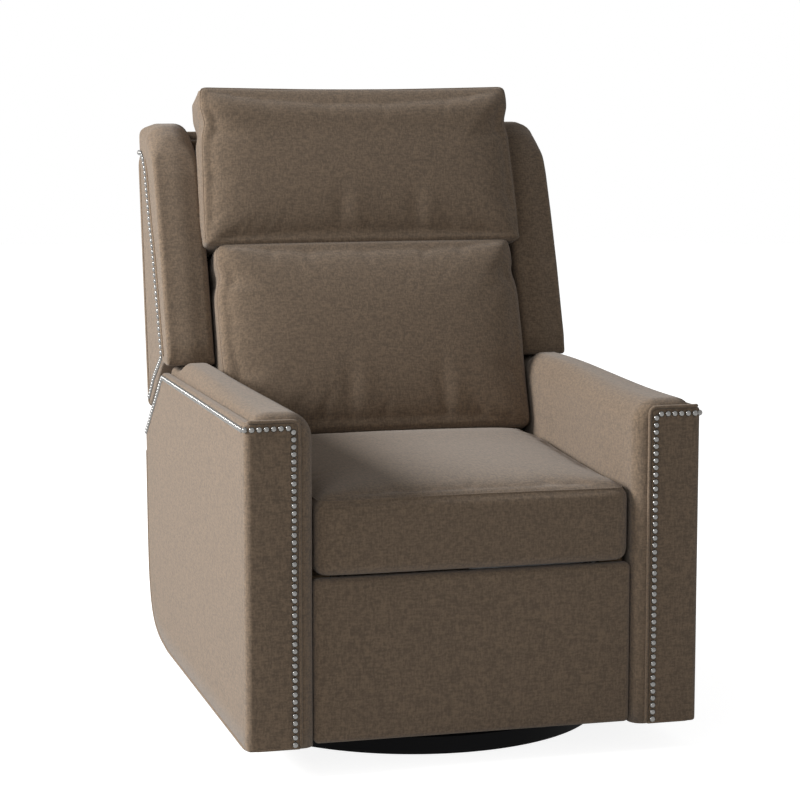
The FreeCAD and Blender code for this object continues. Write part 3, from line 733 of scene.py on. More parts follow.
def crown_of(points: Array, half: Sequence[float], height: float) -> Array:
    """Gives the crown of a cushion's face: h ((1 - (x/a)^2) (1 - (y/b)^2))^0.6, or 0 outside.

    Args:
        points: Points in the cushion's coordinates.
        half: Half sizes a, b and c of its block.
        height: Height h of the crown.

    Returns:
        The rise of each point.
    """
    across = np.clip(1.0 - np.square(points[:, 0] / half[0]), 0.0, 1.0)
    along = np.clip(1.0 - np.square(points[:, 1] / half[1]), 0.0, 1.0)
    return height * np.power(across, CROWN_POWER) * np.power(along, CROWN_POWER)


def facing(points: Array, half: Sequence[float]) -> Array:
    """Gives a weight that is 1 at the cushion's face and 0 at its underside."""
    return smoothstep(0.5 + 0.5 * points[:, 2] / half[2])


@dataclass
class Cushion(ABC):
    """A stuffed cushion that swells under pressure and is sewn along its edges.

    Its own coordinates are across, up its face and out of its face, from the middle of its block.
    """

    name: str
    node: str
    body: Body
    rounding: float
    voxel: float
    swell: float
    fill: float
    seam_round: float

    @property
    @abstractmethod
    def half(self) -> Triple:
        """Gives half the sizes of the block."""

    @property
    @abstractmethod
    def seam_height(self) -> float:
        """Gives how far the seam lies out of the middle of the block."""

    @abstractmethod
    def place(self, points: Array) -> Array:
        """Moves points from the cushion's coordinates to the chair's."""

    @abstractmethod
    def shape(self, points: Array) -> Array:
        """Gives the points of the block the form they have before they swell."""

    @abstractmethod
    def hold(self, rest: Array) -> Array:
        """Gives the share of the swelling that each point takes."""

    @abstractmethod
    def sew(self, rest: Array) -> Array:
        """Gives how far the sewing moves each point outwards."""

    def lay_seam(self, piece: Piece, wardrobe: Wardrobe) -> None:
        """Lays the sewn edge of the face on the finished cushion as a fine ridge.

        Args:
            piece: The finished cushion.
            wardrobe: The finishes.
        """
        across, along, _ = self.half
        ring = rectangle((-across, -along), (across, along), SEAM_STEP, self.seam_round)
        level = np.full((len(ring), 1), self.seam_height)
        outside = self.place(self.shape(np.hstack([ring, level])) * np.array(SEAM_OUTSIDE))
        inside = self.place(self.shape(np.hstack([ring * SEAM_INSIDE, level])))
        path = laid_on(piece, outside, inside)
        path = np.vstack([path, path[:1]])
        middle = self.place(np.zeros((1, 3)))[0]
        way = self.place(np.array([[0.0, 0.0, 1.0]]))[0] - middle
        wardrobe.pipe(f"{self.name}_seam", self.body, path, SEAM_RADIUS, way, SEAM_SEGMENTS)

    def build(self, wardrobe: Wardrobe) -> None:
        """Makes the cushion: a shaped box, remeshed, blown up, subdivided and sewn.

        Args:
            wardrobe: The finishes.
        """
        points, faces = boxed_form(np.array(self.half), self.rounding)
        piece = make_piece(self.name, self.shape(points), faces)
        remesh = piece.modifiers.new("even", "REMESH")
        remesh.mode = "VOXEL"
        remesh.voxel_size = self.voxel
        bake(piece)
        rest = read_points(piece.data)
        self.inflate(piece, rest)
        kept = piece.data.attributes.new("rest", "FLOAT_VECTOR", "POINT")
        kept.data.foreach_set("vector", rest.ravel())
        finer = piece.modifiers.new("finer", "SUBSURF")
        finer.levels = 1
        finer.render_levels = 1
        bake(piece)
        mesh = piece.data
        rest = np.empty(3 * len(mesh.vertices))
        mesh.attributes["rest"].data.foreach_get("vector", rest)
        sewn = read_points(mesh) + read_normals(mesh) * self.sew(rest.reshape(-1, 3))[:, None]
        mesh.attributes.remove(mesh.attributes["rest"])
        write_points(mesh, self.place(sewn))
        mesh.polygons.foreach_set("use_smooth", np.ones(len(mesh.polygons), bool))
        wardrobe.upholster(piece, self.body, self.node, self.fill)
        self.lay_seam(piece, wardrobe)

    def inflate(self, piece: Piece, rest: Array) -> None:
        """Blows the cushion up as cloth and caps how far each point moves.

        A point that moves d outwards is set at d m / (d + m), m being the most it may move.

        Args:
            piece: The remeshed piece.
            rest: Its points before.
        """
        cloth = piece.modifiers.new("cloth", "CLOTH")
        cloth.settings.use_pressure = True
        cloth.settings.uniform_pressure_force = PRESSURE
        cloth.settings.effector_weights.gravity = 0.0
        cloth.settings.quality = CLOTH_QUALITY
        cloth.settings.mass = CLOTH_MASS
        cloth.collision_settings.use_collision = False
        cloth.point_cache.frame_start = 1
        cloth.point_cache.frame_end = CLOTH_FRAMES
        scene = bpy.context.scene
        for number in range(1, CLOTH_FRAMES + 1):
            scene.frame_set(number)
        shown = piece.evaluated_get(bpy.context.evaluated_depsgraph_get())
        move = read_points(shown.data) - rest
        piece.modifiers.clear()
        scene.frame_set(1)
        out = read_normals(piece.data)
        reach = np.maximum(np.sum(move * out, axis=1), 0.0)
        limit = self.swell * self.hold(rest)
        capped = reach * limit / (reach + limit + SMALL)
        write_points(piece.data, rest + out * capped[:, None])


@dataclass
class Seat(Cushion):
    """The seat cushion: boxed, crowned, with a seam round its top edge."""

    name: str = "seat_cushion_cover"
    node: str = "seat_cushion"
    body: Body = Body.CARRIAGE
    rounding: float = 0.020
    voxel: float = 0.0060
    swell: float = 0.016
    fill: float = 0.85
    seam_round: float = 0.036
    front: float = -0.3915
    rear: float = 0.235
    low: float = 0.3220
    seam_level: float = 0.441
    cap: float = 0.0035
    half_width: float = 0.2680
    clearance: float = 0.0012
    crown: float = 0.013
    rear_lift: Triple = (0.007, 0.7, 0.3)
    corner_power: int = 8
    corner_in: float = 0.012
    corner_back: float = 0.007
    base_band: float = 0.004
    base_hold: float = 0.02
    side_hold: float = 0.25
    stitch: Pair = (0.0016, 0.006)
    stitched_edge: Pair = (0.90, 0.05)
    border_inset: float = 0.001
    border_proud: float = 0.002

    @property
    def half(self) -> Triple:
        """Gives half the sizes of the block, whose top lies twice the cap above the seam."""
        return (self.half_width - self.clearance, (self.rear - self.front) / 2,
                (self.seam_level - self.low) / 2 + self.cap)

    @property
    def middle(self) -> Array:
        """Gives the middle of the block in the chair's frame."""
        return np.array([0.0, (self.front + self.rear) / 2,
                         (self.seam_level + self.low) / 2 + self.cap])

    @property
    def seam_height(self) -> float:
        """Gives how far the seam lies above the middle of the block."""
        return self.seam_level - self.middle[2]

    def place(self, points: Array) -> Array:
        """Sets points on the seat frame, none of them below it.

        Args:
            points: Points in the cushion's coordinates.

        Returns:
            The points in the chair's frame.
        """
        placed = points + self.middle
        placed[:, 2] = np.maximum(placed[:, 2], self.low)
        return placed

    def shape(self, points: Array) -> Array:
        """Crowns the face, lifts it near the rear, widens it with the arms and eases its corners.

        Args:
            points: Points of the block.

        Returns:
            The shaped points.
        """
        half = self.half
        face = facing(points, half)
        front = np.clip(-points[:, 1] / half[1], 0.0, 1.0) ** self.corner_power
        corner = front * np.abs(points[:, 0] / half[0]) ** self.corner_power
        lift, lift_at, lift_width = self.rear_lift
        shaped = points.copy()
        shaped[:, 2] += face * crown_of(points, half, self.crown)
        shaped[:, 2] += face * lift * ridge(points[:, 1] / half[1] - lift_at, lift_width)
        flare = arm_flare(points[:, 1] + self.middle[1]) / half[0]
        shaped[:, 0] *= 1.0 - self.corner_in * corner + flare
        shaped[:, 1] += self.corner_back * corner
        return shaped

    def hold(self, rest: Array) -> Array:
        """Holds the underside flat and lets the face swell most.

        Args:
            rest: Points before the swelling.

        Returns:
            The share of the swelling that each takes.
        """
        free = self.side_hold + (1.0 - self.side_hold) * facing(rest, self.half)
        return np.where(rest[:, 2] < -self.half[2] + self.base_band, self.base_hold, free)

    def sew(self, rest: Array) -> Array:
        """Draws in the sides along the seam.

        Args:
            rest: Points before the swelling.

        Returns:
            How far each moves outwards.
        """
        half, (depth, width) = self.half, self.stitch
        edge = np.maximum(np.abs(rest[:, 0]) / half[0], np.abs(rest[:, 1]) / half[1])
        line = ridge(rest[:, 2] - self.seam_height, width)
        return -depth * line * eased(edge, *self.stitched_edge)

    def build(self, wardrobe: Wardrobe) -> None:
        """Builds the cushion and the fabric border of the rail below it.

        Args:
            wardrobe: The finishes.
        """
        super().build(wardrobe)
        low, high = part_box("seat_rail_front")
        side = self.half_width - self.border_inset
        outline = rectangle((-side, low[2]), (side, high[2]), spacing=0.004, rounding=0.002)
        slab = Slab(outline, low[1] - self.border_proud, high[1], round_low=0.002, round_high=0.001)
        border = front_slab(slab, "seat_front_border", upright)
        wardrobe.upholster(border, Body.CARRIAGE, "seat_rail_front", PANEL_FILL)


@dataclass
class LeaningCushion(Cushion):
    """A cushion that stands against the leaning back, with small pulls in its face."""

    foot_y: float
    foot_z: float
    lean: float
    length: float
    depth: float
    half_width: float
    crown: float
    seam_inset: float
    pulled: tuple[Pair, ...]
    pull_reach: float
    held_side: Pair
    side_grip: float
    stitch: Pair
    stitched_side: Pair
    edge_hold: float = 0.15

    @property
    def half(self) -> Triple:
        """Gives half the sizes of the block."""
        return (self.half_width, self.length / 2, self.depth / 2)

    @property
    def seam_height(self) -> float:
        """Gives how far the seam lies out of the middle of the block."""
        return self.depth / 2 - self.seam_inset

    def place(self, points: Array) -> Array:
        """Stands points up at the back: u along the lean from the foot, and w ahead of the block.

        Args:
            points: Points in the cushion's coordinates.

        Returns:
            The points in the chair's frame.
        """
        sine, cosine = math.sin(math.radians(self.lean)), math.cos(math.radians(self.lean))
        up = points[:, 1] + self.length / 2
        behind = self.depth / 2 - points[:, 2]
        return np.stack([points[:, 0], self.foot_y + up * sine + behind * cosine,
                         self.foot_z + up * cosine - behind * sine], axis=1)

    def hold(self, rest: Array) -> Array:
        """Lets the face swell most and grips the two sides.

        Args:
            rest: Points before the swelling.

        Returns:
            The share of the swelling that each takes.
        """
        side = eased(np.abs(rest[:, 0]) / self.half_width, *self.held_side)
        free = self.edge_hold + (1.0 - self.edge_hold) * facing(rest, self.half)
        return free * (1.0 - self.side_grip * side)

    def pulls(self, rest: Array) -> Array:
        """Gives the small upright folds that hidden stitches pull into the face.

        Each is a shallow valley with a low fold on its right, both rounded bumps of the two face
        coordinates.

        Args:
            rest: Points before the swelling.

        Returns:
            How far each moves outwards.
        """
        depth, width = VALLEY
        height, aside, fold_width, longer = FOLD
        total = np.zeros(len(rest))
        for x, y in self.pulled:
            up = rest[:, 1] - y
            valley = ridge(rest[:, 0] - x, width) * ridge(up, self.pull_reach)
            fold = ridge(rest[:, 0] - x - aside, fold_width) * ridge(up, longer * self.pull_reach)
            total += height * fold - depth * valley
        return total * facing(rest, self.half)

    def seam_line(self, rest: Array) -> tuple[Array, Array]:
        """Gives the seam's rounded groove, and a weight that is 1 at the two sides."""
        side = eased(np.abs(rest[:, 0]) / self.half_width, *self.stitched_side)
        return self.stitch[0] * ridge(rest[:, 2] - self.seam_height, self.stitch[1]), side


@dataclass
class BackCushion(LeaningCushion):
    """The lower back cushion: wider at the top and pinched at its shoulders."""

    name: str = "back_cushion_cover"
    node: str = "back_cushion"
    body: Body = Body.BACK
    rounding: float = 0.014
    voxel: float = 0.006
    swell: float = 0.020
    fill: float = 0.7
    seam_round: float = 0.03
    foot_y: float = 0.188
    foot_z: float = 0.468
    lean: float = 20.5
    length: float = 0.366
    depth: float = 0.128
    half_width: float = 0.2885
    half_low: float = 0.2870
    crown: float = 0.014
    seam_inset: float = 0.016
    pulled: tuple[Pair, ...] = ((-0.060, -0.108), (0.115, -0.112))
    pull_reach: float = 0.045
    held_side: Pair = (0.88, 0.08)
    side_grip: float = 0.85
    stitch: Pair = (0.0014, 0.007)
    stitched_side: Pair = (0.86, 0.05)
    widening: Pair = (0.31, 0.16)
    pinch: Triple = (0.026, 0.82, 0.055)
    taper: float = 0.022
    taper_band: Pair = (0.82, 0.16)

    def shape(self, points: Array) -> Array:
        """Widens the block upwards, pinches and tapers its shoulders and crowns its face.

        Args:
            points: Points of the block.

        Returns:
            The shaped points.
        """
        up = points[:, 1] / self.length + 0.5
        wider = eased(up, *self.widening)
        width = (self.half_low + (self.half_width - self.half_low) * wider) / self.half_width
        shaped = points.copy()
        shaped[:, 0] *= width - bulge(up, *self.pinch) - self.taper * eased(up, *self.taper_band)
        shaped[:, 2] += facing(points, self.half) * crown_of(points, self.half, self.crown)
        return shaped

    def sew(self, rest: Array) -> Array:
        """Draws in the two sides along the seam and adds the pulls."""
        groove, side = self.seam_line(rest)
        return self.pulls(rest) - groove * side


@dataclass
class Headrest(LeaningCushion):
    """The headrest pillow: a boxed pillow with a rolled top, a waist and a lip at its foot."""

    name: str = "headrest_cover"
    node: str = "headrest_pillow"
    body: Body = Body.BACK
    rounding: float = 0.009
    voxel: float = 0.0050
    swell: float = 0.018
    fill: float = 0.75
    seam_round: float = 0.012
    foot_y: float = 0.316
    foot_z: float = 0.8045
    lean: float = 16.6
    length: float = 0.300
    depth: float = 0.112
    half_width: float = 0.3035
    crown: float = 0.010
    seam_inset: float = 0.008
    pulled: tuple[Pair, ...] = ((-0.045, -0.088), (0.098, -0.092))
    pull_reach: float = 0.034
    held_side: Pair = (0.90, 0.08)
    side_grip: float = 0.7
    stitch: Pair = (0.0016, 0.006)
    stitched_side: Pair = (0.93, 0.03)
    waist: Triple = (0.022, 0.77, 0.06)
    taper: float = 0.024
    rear_taper: float = 0.016
    sag: float = 0.005
    sag_band: Pair = (0.6, 0.3)
    roll: Triple = (0.008, 0.88, 0.12)
    stitched_foot: Pair = (0.90, 0.05)
    lip: Triple = (0.0025, 0.006, 0.007)

    def shape(self, points: Array) -> Array:
        """Tapers the block, draws in its waist, sags its top edge and rolls its face out there.

        Args:
            points: Points of the block.

        Returns:
            The shaped points.
        """
        half = self.half
        up = points[:, 1] / self.length + 0.5
        face = facing(points, half)
        narrower = bulge(up, *self.waist)
        shaped = points.copy()
        shaped[:, 0] *= (1.0 - narrower - self.taper * smoothstep(up)
                         - self.rear_taper * (1.0 - face))
        sag = self.sag * np.clip(1.0 - np.square(points[:, 0] / half[0]), 0.0, 1.0)
        shaped[:, 1] -= sag * eased(up, *self.sag_band)
        shaped[:, 2] += face * (crown_of(points, half, self.crown) + bulge(up, *self.roll))
        return shaped

    def sew(self, rest: Array) -> Array:
        """Draws in the sides and the foot along the seam, and adds the lip and the pulls.

        Args:
            rest: Points before the swelling.

        Returns:
            How far each moves outwards.
        """
        groove, side = self.seam_line(rest)
        foot = eased(-rest[:, 1] / self.half[1], *self.stitched_foot)
        lip = bulge(rest[:, 2] - self.seam_height, *self.lip) * foot
        return self.pulls(rest) - groove * np.maximum(side, foot) + lip


# Covers

PANEL_FILL = 0.9
# Step along a run of nails, for the path that the heads are set on.
NAIL_STEP = 0.002


def columns(*values: Array | float) -> Array:
    """Sets arrays of one length and single numbers side by side as columns."""
    return np.stack(np.broadcast_arrays(*values), axis=1)


def on_side(points: Array, side: Side) -> Array:
    """Stands slab points (Y, Z, distance from the middle of the chair) up on one side."""
    return np.stack([side.value * points[..., 2], points[..., 0], points[..., 1]], axis=-1)


def front_slab(slab: Slab, name: str, lean: Callable[[Array], Array]) -> Piece:
    """Makes a slab whose outline is (X, Z) and whose thickness is along Y, from a leaning plane.

    Args:
        slab: The slab.
        name: Name of the piece.
        lean: A function of Z that gives the plane's Y.

    Returns:
        The piece.
    """
    points, _, faces = slab.build()
    y = lean(points[..., 1]) + points[..., 2]
    return make_piece(name, np.stack([points[..., 0], y, points[..., 1]], axis=-1), faces)


def upright(height: Array) -> Array:
    """Gives the Y of an upright plane through the swivel axis."""
    return np.zeros_like(height)


@dataclass
class Arm:
    """One arm: a cover with a crowned top, a raised front panel, welts and a hem."""

    inner: float = 0.269
    outer: float = 0.382
    front: float = -0.3955
    bottom: float = 0.049
    top: float = 0.580
    slant_top: Pair = (0.341, 0.572)
    slant_foot: Pair = (0.527, 0.440)
    heel: tuple[Pair, ...] = ((0.522, 0.400), (0.515, 0.230), (0.506, 0.150), (0.484, 0.098),
                              (0.450, 0.072), (0.400, 0.057), (0.314, 0.049))
    heel_round: float = 0.036
    ledge: float = 0.017
    ledge_drop: float = 0.0035
    ledge_round: float = 0.005
    groove: Pair = (0.0030, 0.0024)
    crown: float = 0.0105
    crown_reach: float = 0.5
    inner_round: float = 0.042
    nose_round: float = 0.022
    outer_nose: float = 0.6
    nose_fade: float = 0.016
    nose_dip: Pair = (0.004, 0.012)
    dome: float = 0.0135
    dome_start: Pair = (-0.32, 0.50)
    dome_end: Pair = (0.242, 0.035)
    full_height: float = 0.12
    flare_height: Pair = (0.25, 0.06)
    panel_inner: float = 0.296
    panel_top: float = 0.5745
    panel_proud: float = 0.0030
    panel_sunk: float = 0.004
    wrap_inset: float = 0.002
    sunk: float = 0.001
    welt_gap: float = 0.003
    welt_end: float = 0.0035
    welt_round: float = 0.014
    welt_radius: float = 0.0030
    hem_lift: float = 0.0022
    hem_bend: float = 1.3
    hem_radius: float = 0.0027
    nail_column: float = 0.303
    nail_row: float = 0.5665
    nail_proud: float = 0.0040
    nail_start: float = 0.008
    nail_corner: Pair = (0.002, 0.001)
    nail_edge: float = 0.0005
    nail_top: Pair = (0.016, 0.0155)
    nail_knee: Pair = (0.004, 0.011)
    nail_foot: Pair = (0.009, 0.005)

    @property
    def heel_line(self) -> Array:
        """Gives the rounded rear foot line of the arm as (Y, Z), from the front up."""
        corners = (*self.heel[::-1], self.slant_foot)
        return even_path(corners, spacing=0.004, soften=self.heel_round)

    def build(self, side: Side, wardrobe: Wardrobe) -> None:
        """Builds the arm on one side.

        Args:
            side: The side.
            wardrobe: The finishes.
        """
        self.cover(side, wardrobe)
        self.front_panel(side, wardrobe)
        self.welt(side, wardrobe)
        self.hem(side, wardrobe)

    def section(self) -> Array:
        """Gives the cross-section, from the foot up the outer side and down the inner side.

        Across the top lie a ledge, a groove, a crown (a quarter of an ellipse, then flat) and a
        large round at the inner edge.

        Returns:
            Six rows: distance from the outer face, rise, the share of the height that the rise
            counts from, how far the rounded front draws a point across and up, and how far it
            shares in the dome of the pad.
        """
        width, edge = self.outer - self.inner, self.inner_round
        turn = np.linspace(0.0, math.pi / 2, 5)
        outer_away = self.ledge_round * (1.0 - np.cos(turn))
        outer_rise = -self.ledge_drop - self.ledge_round * (1.0 - np.sin(turn))
        # The samples lie close together at the groove.
        away = np.unique(np.concatenate([np.linspace(0.008, self.ledge - 0.006, 4),
                                         self.ledge + np.linspace(-0.005, 0.005, 9),
                                         np.linspace(self.ledge + 0.008, width - edge, 9)]))
        past = np.clip((away - self.ledge) / (width - edge - self.ledge), 0.0, 1.0)
        full = np.sqrt(1.0 - np.square(np.clip(1.0 - past / self.crown_reach, 0.0, 1.0)))
        raised = -self.ledge_drop + (self.crown + self.ledge_drop) * full
        crown = np.where(away < self.ledge, -self.ledge_drop, raised)
        crown -= self.groove[0] * ridge(away - self.ledge, self.groove[1])
        turn = np.linspace(0.0, math.pi / 2, 12)[1:]
        inner_away = width - edge + edge * np.sin(turn)
        inner_rise = self.crown - edge * (1.0 - np.cos(turn))
        sides = np.linspace(0.0, 1.0, 14)[1:-1]
        falling = sides[::-1]
        foot = np.linspace(width, 0.0, 8)
        nose = self.outer_nose
        return np.vstack([
            columns(0.0, sides * outer_rise[0], sides, nose, 0.0, 0.0),
            columns(outer_away, outer_rise, 1.0, nose, 0.0, 0.0),
            columns(away, crown, 1.0, nose * (1.0 - smoothstep(away / self.nose_fade)),
                    -eased(away, *self.nose_dip), np.where(away < self.ledge, 0.0, full)),
            columns(inner_away, inner_rise, 1.0, -np.sin(turn), -np.cos(turn), np.cos(turn)),
            columns(width, falling * inner_rise[-1], falling, -1.0, 0.0, 0.0),
            columns(foot, 0.0, 0.0, nose - (1.0 + nose) * foot / width, 0.0, 0.0),
        ]).T

    def cover(self, side: Side, wardrobe: Wardrobe) -> None:
        """Builds the cover: the cross-section carried along Y between foot line and top line.

        At the front the section is drawn in by r (1 - sin a) at Y = front + r (1 - cos a). The
        pad's dome grows from the front to just ahead of the wing, and the inner face stands back
        by the arms' flare.

        Args:
            side: The side.
            wardrobe: The finishes.
        """
        across, rise, share, drawn, dipped, dome = (row[None] for row in self.section())
        knee, heel_top = self.slant_top[0], self.slant_foot[0]
        turn = np.linspace(0.0, math.pi / 2, 7)
        nose = self.front + self.nose_round * (1.0 - np.cos(turn))
        # The samples lie close together at the end of the dome, the knee and the heel.
        y = np.unique(np.concatenate([
            np.linspace(nose[-1] + 0.01, knee - 0.02, 30),
            self.dome_end[0] + np.linspace(0.0, self.dome_end[1], 9),
            knee + np.linspace(-0.015, 0.015, 7),
            np.linspace(knee + 0.02, 0.48, 16),
            np.linspace(0.482, heel_top, 22)]))
        y = np.concatenate([nose, y])
        drop = np.zeros(len(y))
        drop[:len(turn)] = self.nose_round * (1.0 - np.sin(turn))
        top = np.interp(y, (self.front, knee, heel_top),
                        (self.top, self.slant_top[1], self.slant_foot[1]))
        heel = self.heel_line
        low = np.interp(y, heel[:, 0], heel[:, 1])
        low[y < heel[0, 0]] = self.bottom
        plump = self.dome * (eased(y, *self.dome_start) - eased(y, *self.dome_end))
        y, drop, top, low, plump = (row[:, None] for row in (y, drop, top, low, plump))
        tall = np.clip((top - low) / self.full_height, 0.0, 1.0)
        x = self.outer - (across + drop * drawn)
        z = low + share * (top - low) + (rise + drop * dipped) * tall
        z += plump * dome
        inside = (across - self.ledge) / (self.outer - self.inner - self.ledge)
        x += arm_flare(y) * np.clip(inside, 0.0, 1.0) * eased(z, *self.flare_height)
        points = np.stack([side.value * x, np.broadcast_to(y, x.shape), z], axis=-1)
        first, last = (np.broadcast_to(points[end].mean(axis=0), points[[end]].shape)
                       for end in (0, -1))
        points = np.vstack([first, points, last])
        faces = grid_faces(len(points), points.shape[1], wrap=True)
        piece = make_piece(f"arm_cover_{side.label}_padded", points, faces)
        wardrobe.upholster(piece, Body.CARRIAGE, f"arm_cover_{side.label}", PANEL_FILL)

    def wrap(self, points: Array) -> Array:
        """Bends points round the outer front edge: Y grows by r - (r^2 - d^2)^(1/2).

        Args:
            points: Points on the front, d being how far each lies past the start of the bend.

        Returns:
            The bent points.
        """
        radius = self.nose_round * self.outer_nose - self.wrap_inset
        past = np.clip(np.abs(points[..., 0]) - self.outer + radius, 0.0, radius)
        bent = points.copy()
        bent[..., 1] += radius - np.sqrt(radius * radius - past * past)
        return bent

    def front_panel(self, side: Side, wardrobe: Wardrobe) -> None:
        """Builds the panel that the welt and the nails frame.

        Args:
            side: The side.
            wardrobe: The finishes.
        """
        corners = (self.panel_inner, self.bottom), (self.outer, self.panel_top)
        outline = rectangle(*corners, spacing=0.005, rounding=0.006)
        slab = Slab(outline * np.array([side.value, 1.0]), self.front - self.panel_proud,
                    self.front + self.panel_sunk, round_low=0.0025, round_high=0.001,
                    crown_low=0.0015, softness=0.03, face_rows=26)
        piece = front_slab(slab, f"arm_front_{side.label}_padded", upright)
        write_points(piece.data, self.wrap(read_points(piece.data)))
        wardrobe.upholster(piece, Body.CARRIAGE, f"arm_front_panel_{side.label}", PANEL_FILL)

    def welt(self, side: Side, wardrobe: Wardrobe) -> None:
        """Builds the welt round the front panel.

        Args:
            side: The side.
            wardrobe: The finishes.
        """
        sign, y = side.value, self.front - self.sunk
        x, high = sign * (self.panel_inner - self.welt_gap), self.panel_top + self.welt_gap
        corners = [(x, y, self.bottom + self.sunk), (x, y, high),
                   (sign * (self.outer - self.welt_end), y, high)]
        path = self.wrap(even_path(corners, spacing=0.004, soften=self.welt_round))
        wardrobe.pipe(f"arm_welt_{side.label}", Body.CARRIAGE, path, self.welt_radius,
                      (0.0, 1.0, 0.0))

    def hem(self, side: Side, wardrobe: Wardrobe) -> None:
        """Builds the hem along the foot of the front and the side, and up the heel.

        Args:
            side: The side.
            wardrobe: The finishes.
        """
        sign, y, low = side.value, self.front - self.sunk, self.bottom + self.hem_lift
        bend, x = self.nose_round * self.outer_nose, self.outer - self.sunk
        corners = [(sign * (self.inner + self.nose_round), y, low), (sign * (x - bend), y, low),
                   (sign * x, y + self.hem_bend * bend, low)]
        corners += [(sign * x, heel_y - self.sunk, heel_z + self.hem_lift)
                    for heel_y, heel_z in self.heel_line if heel_z < self.heel[0][1]]
        path = even_path(corners, spacing=0.005, soften=0.012)
        wardrobe.pipe(f"arm_hem_{side.label}", Body.CARRIAGE, path, self.hem_radius,
                      (0.31, 0.37, 0.87))

    def nail_runs(self, side: Side) -> list[Run]:
        """Gives the nail rows of the front and of the top edge.

        Args:
            side: The side of the arm.

        Returns:
            Pairs of a path and the way the heads face.
        """
        sign, y, row = side.value, self.front - self.nail_proud, self.nail_row
        x, (inset, drop) = sign * self.nail_column, self.nail_corner
        corners = [(x, y, self.bottom + self.nail_start), (x, y, row),
                   (sign * (self.outer - inset), y, row - drop)]
        front = self.wrap(even_path(corners, NAIL_STEP, soften=0.012))
        x, (behind, below) = sign * (self.outer + self.nail_edge), self.nail_top
        slant = np.array([self.slant_top, self.slant_foot])
        knee, foot = slant - np.array([self.nail_knee, self.nail_foot])
        corners = [(x, self.front + behind, self.top - below), (x, *knee), (x, *foot)]
        top = even_path(corners, NAIL_STEP, soften=0.010)
        return [(front, np.array([0.0, -1.0, 0.0])), (top, np.array([float(sign), 0.0, 0.0]))]


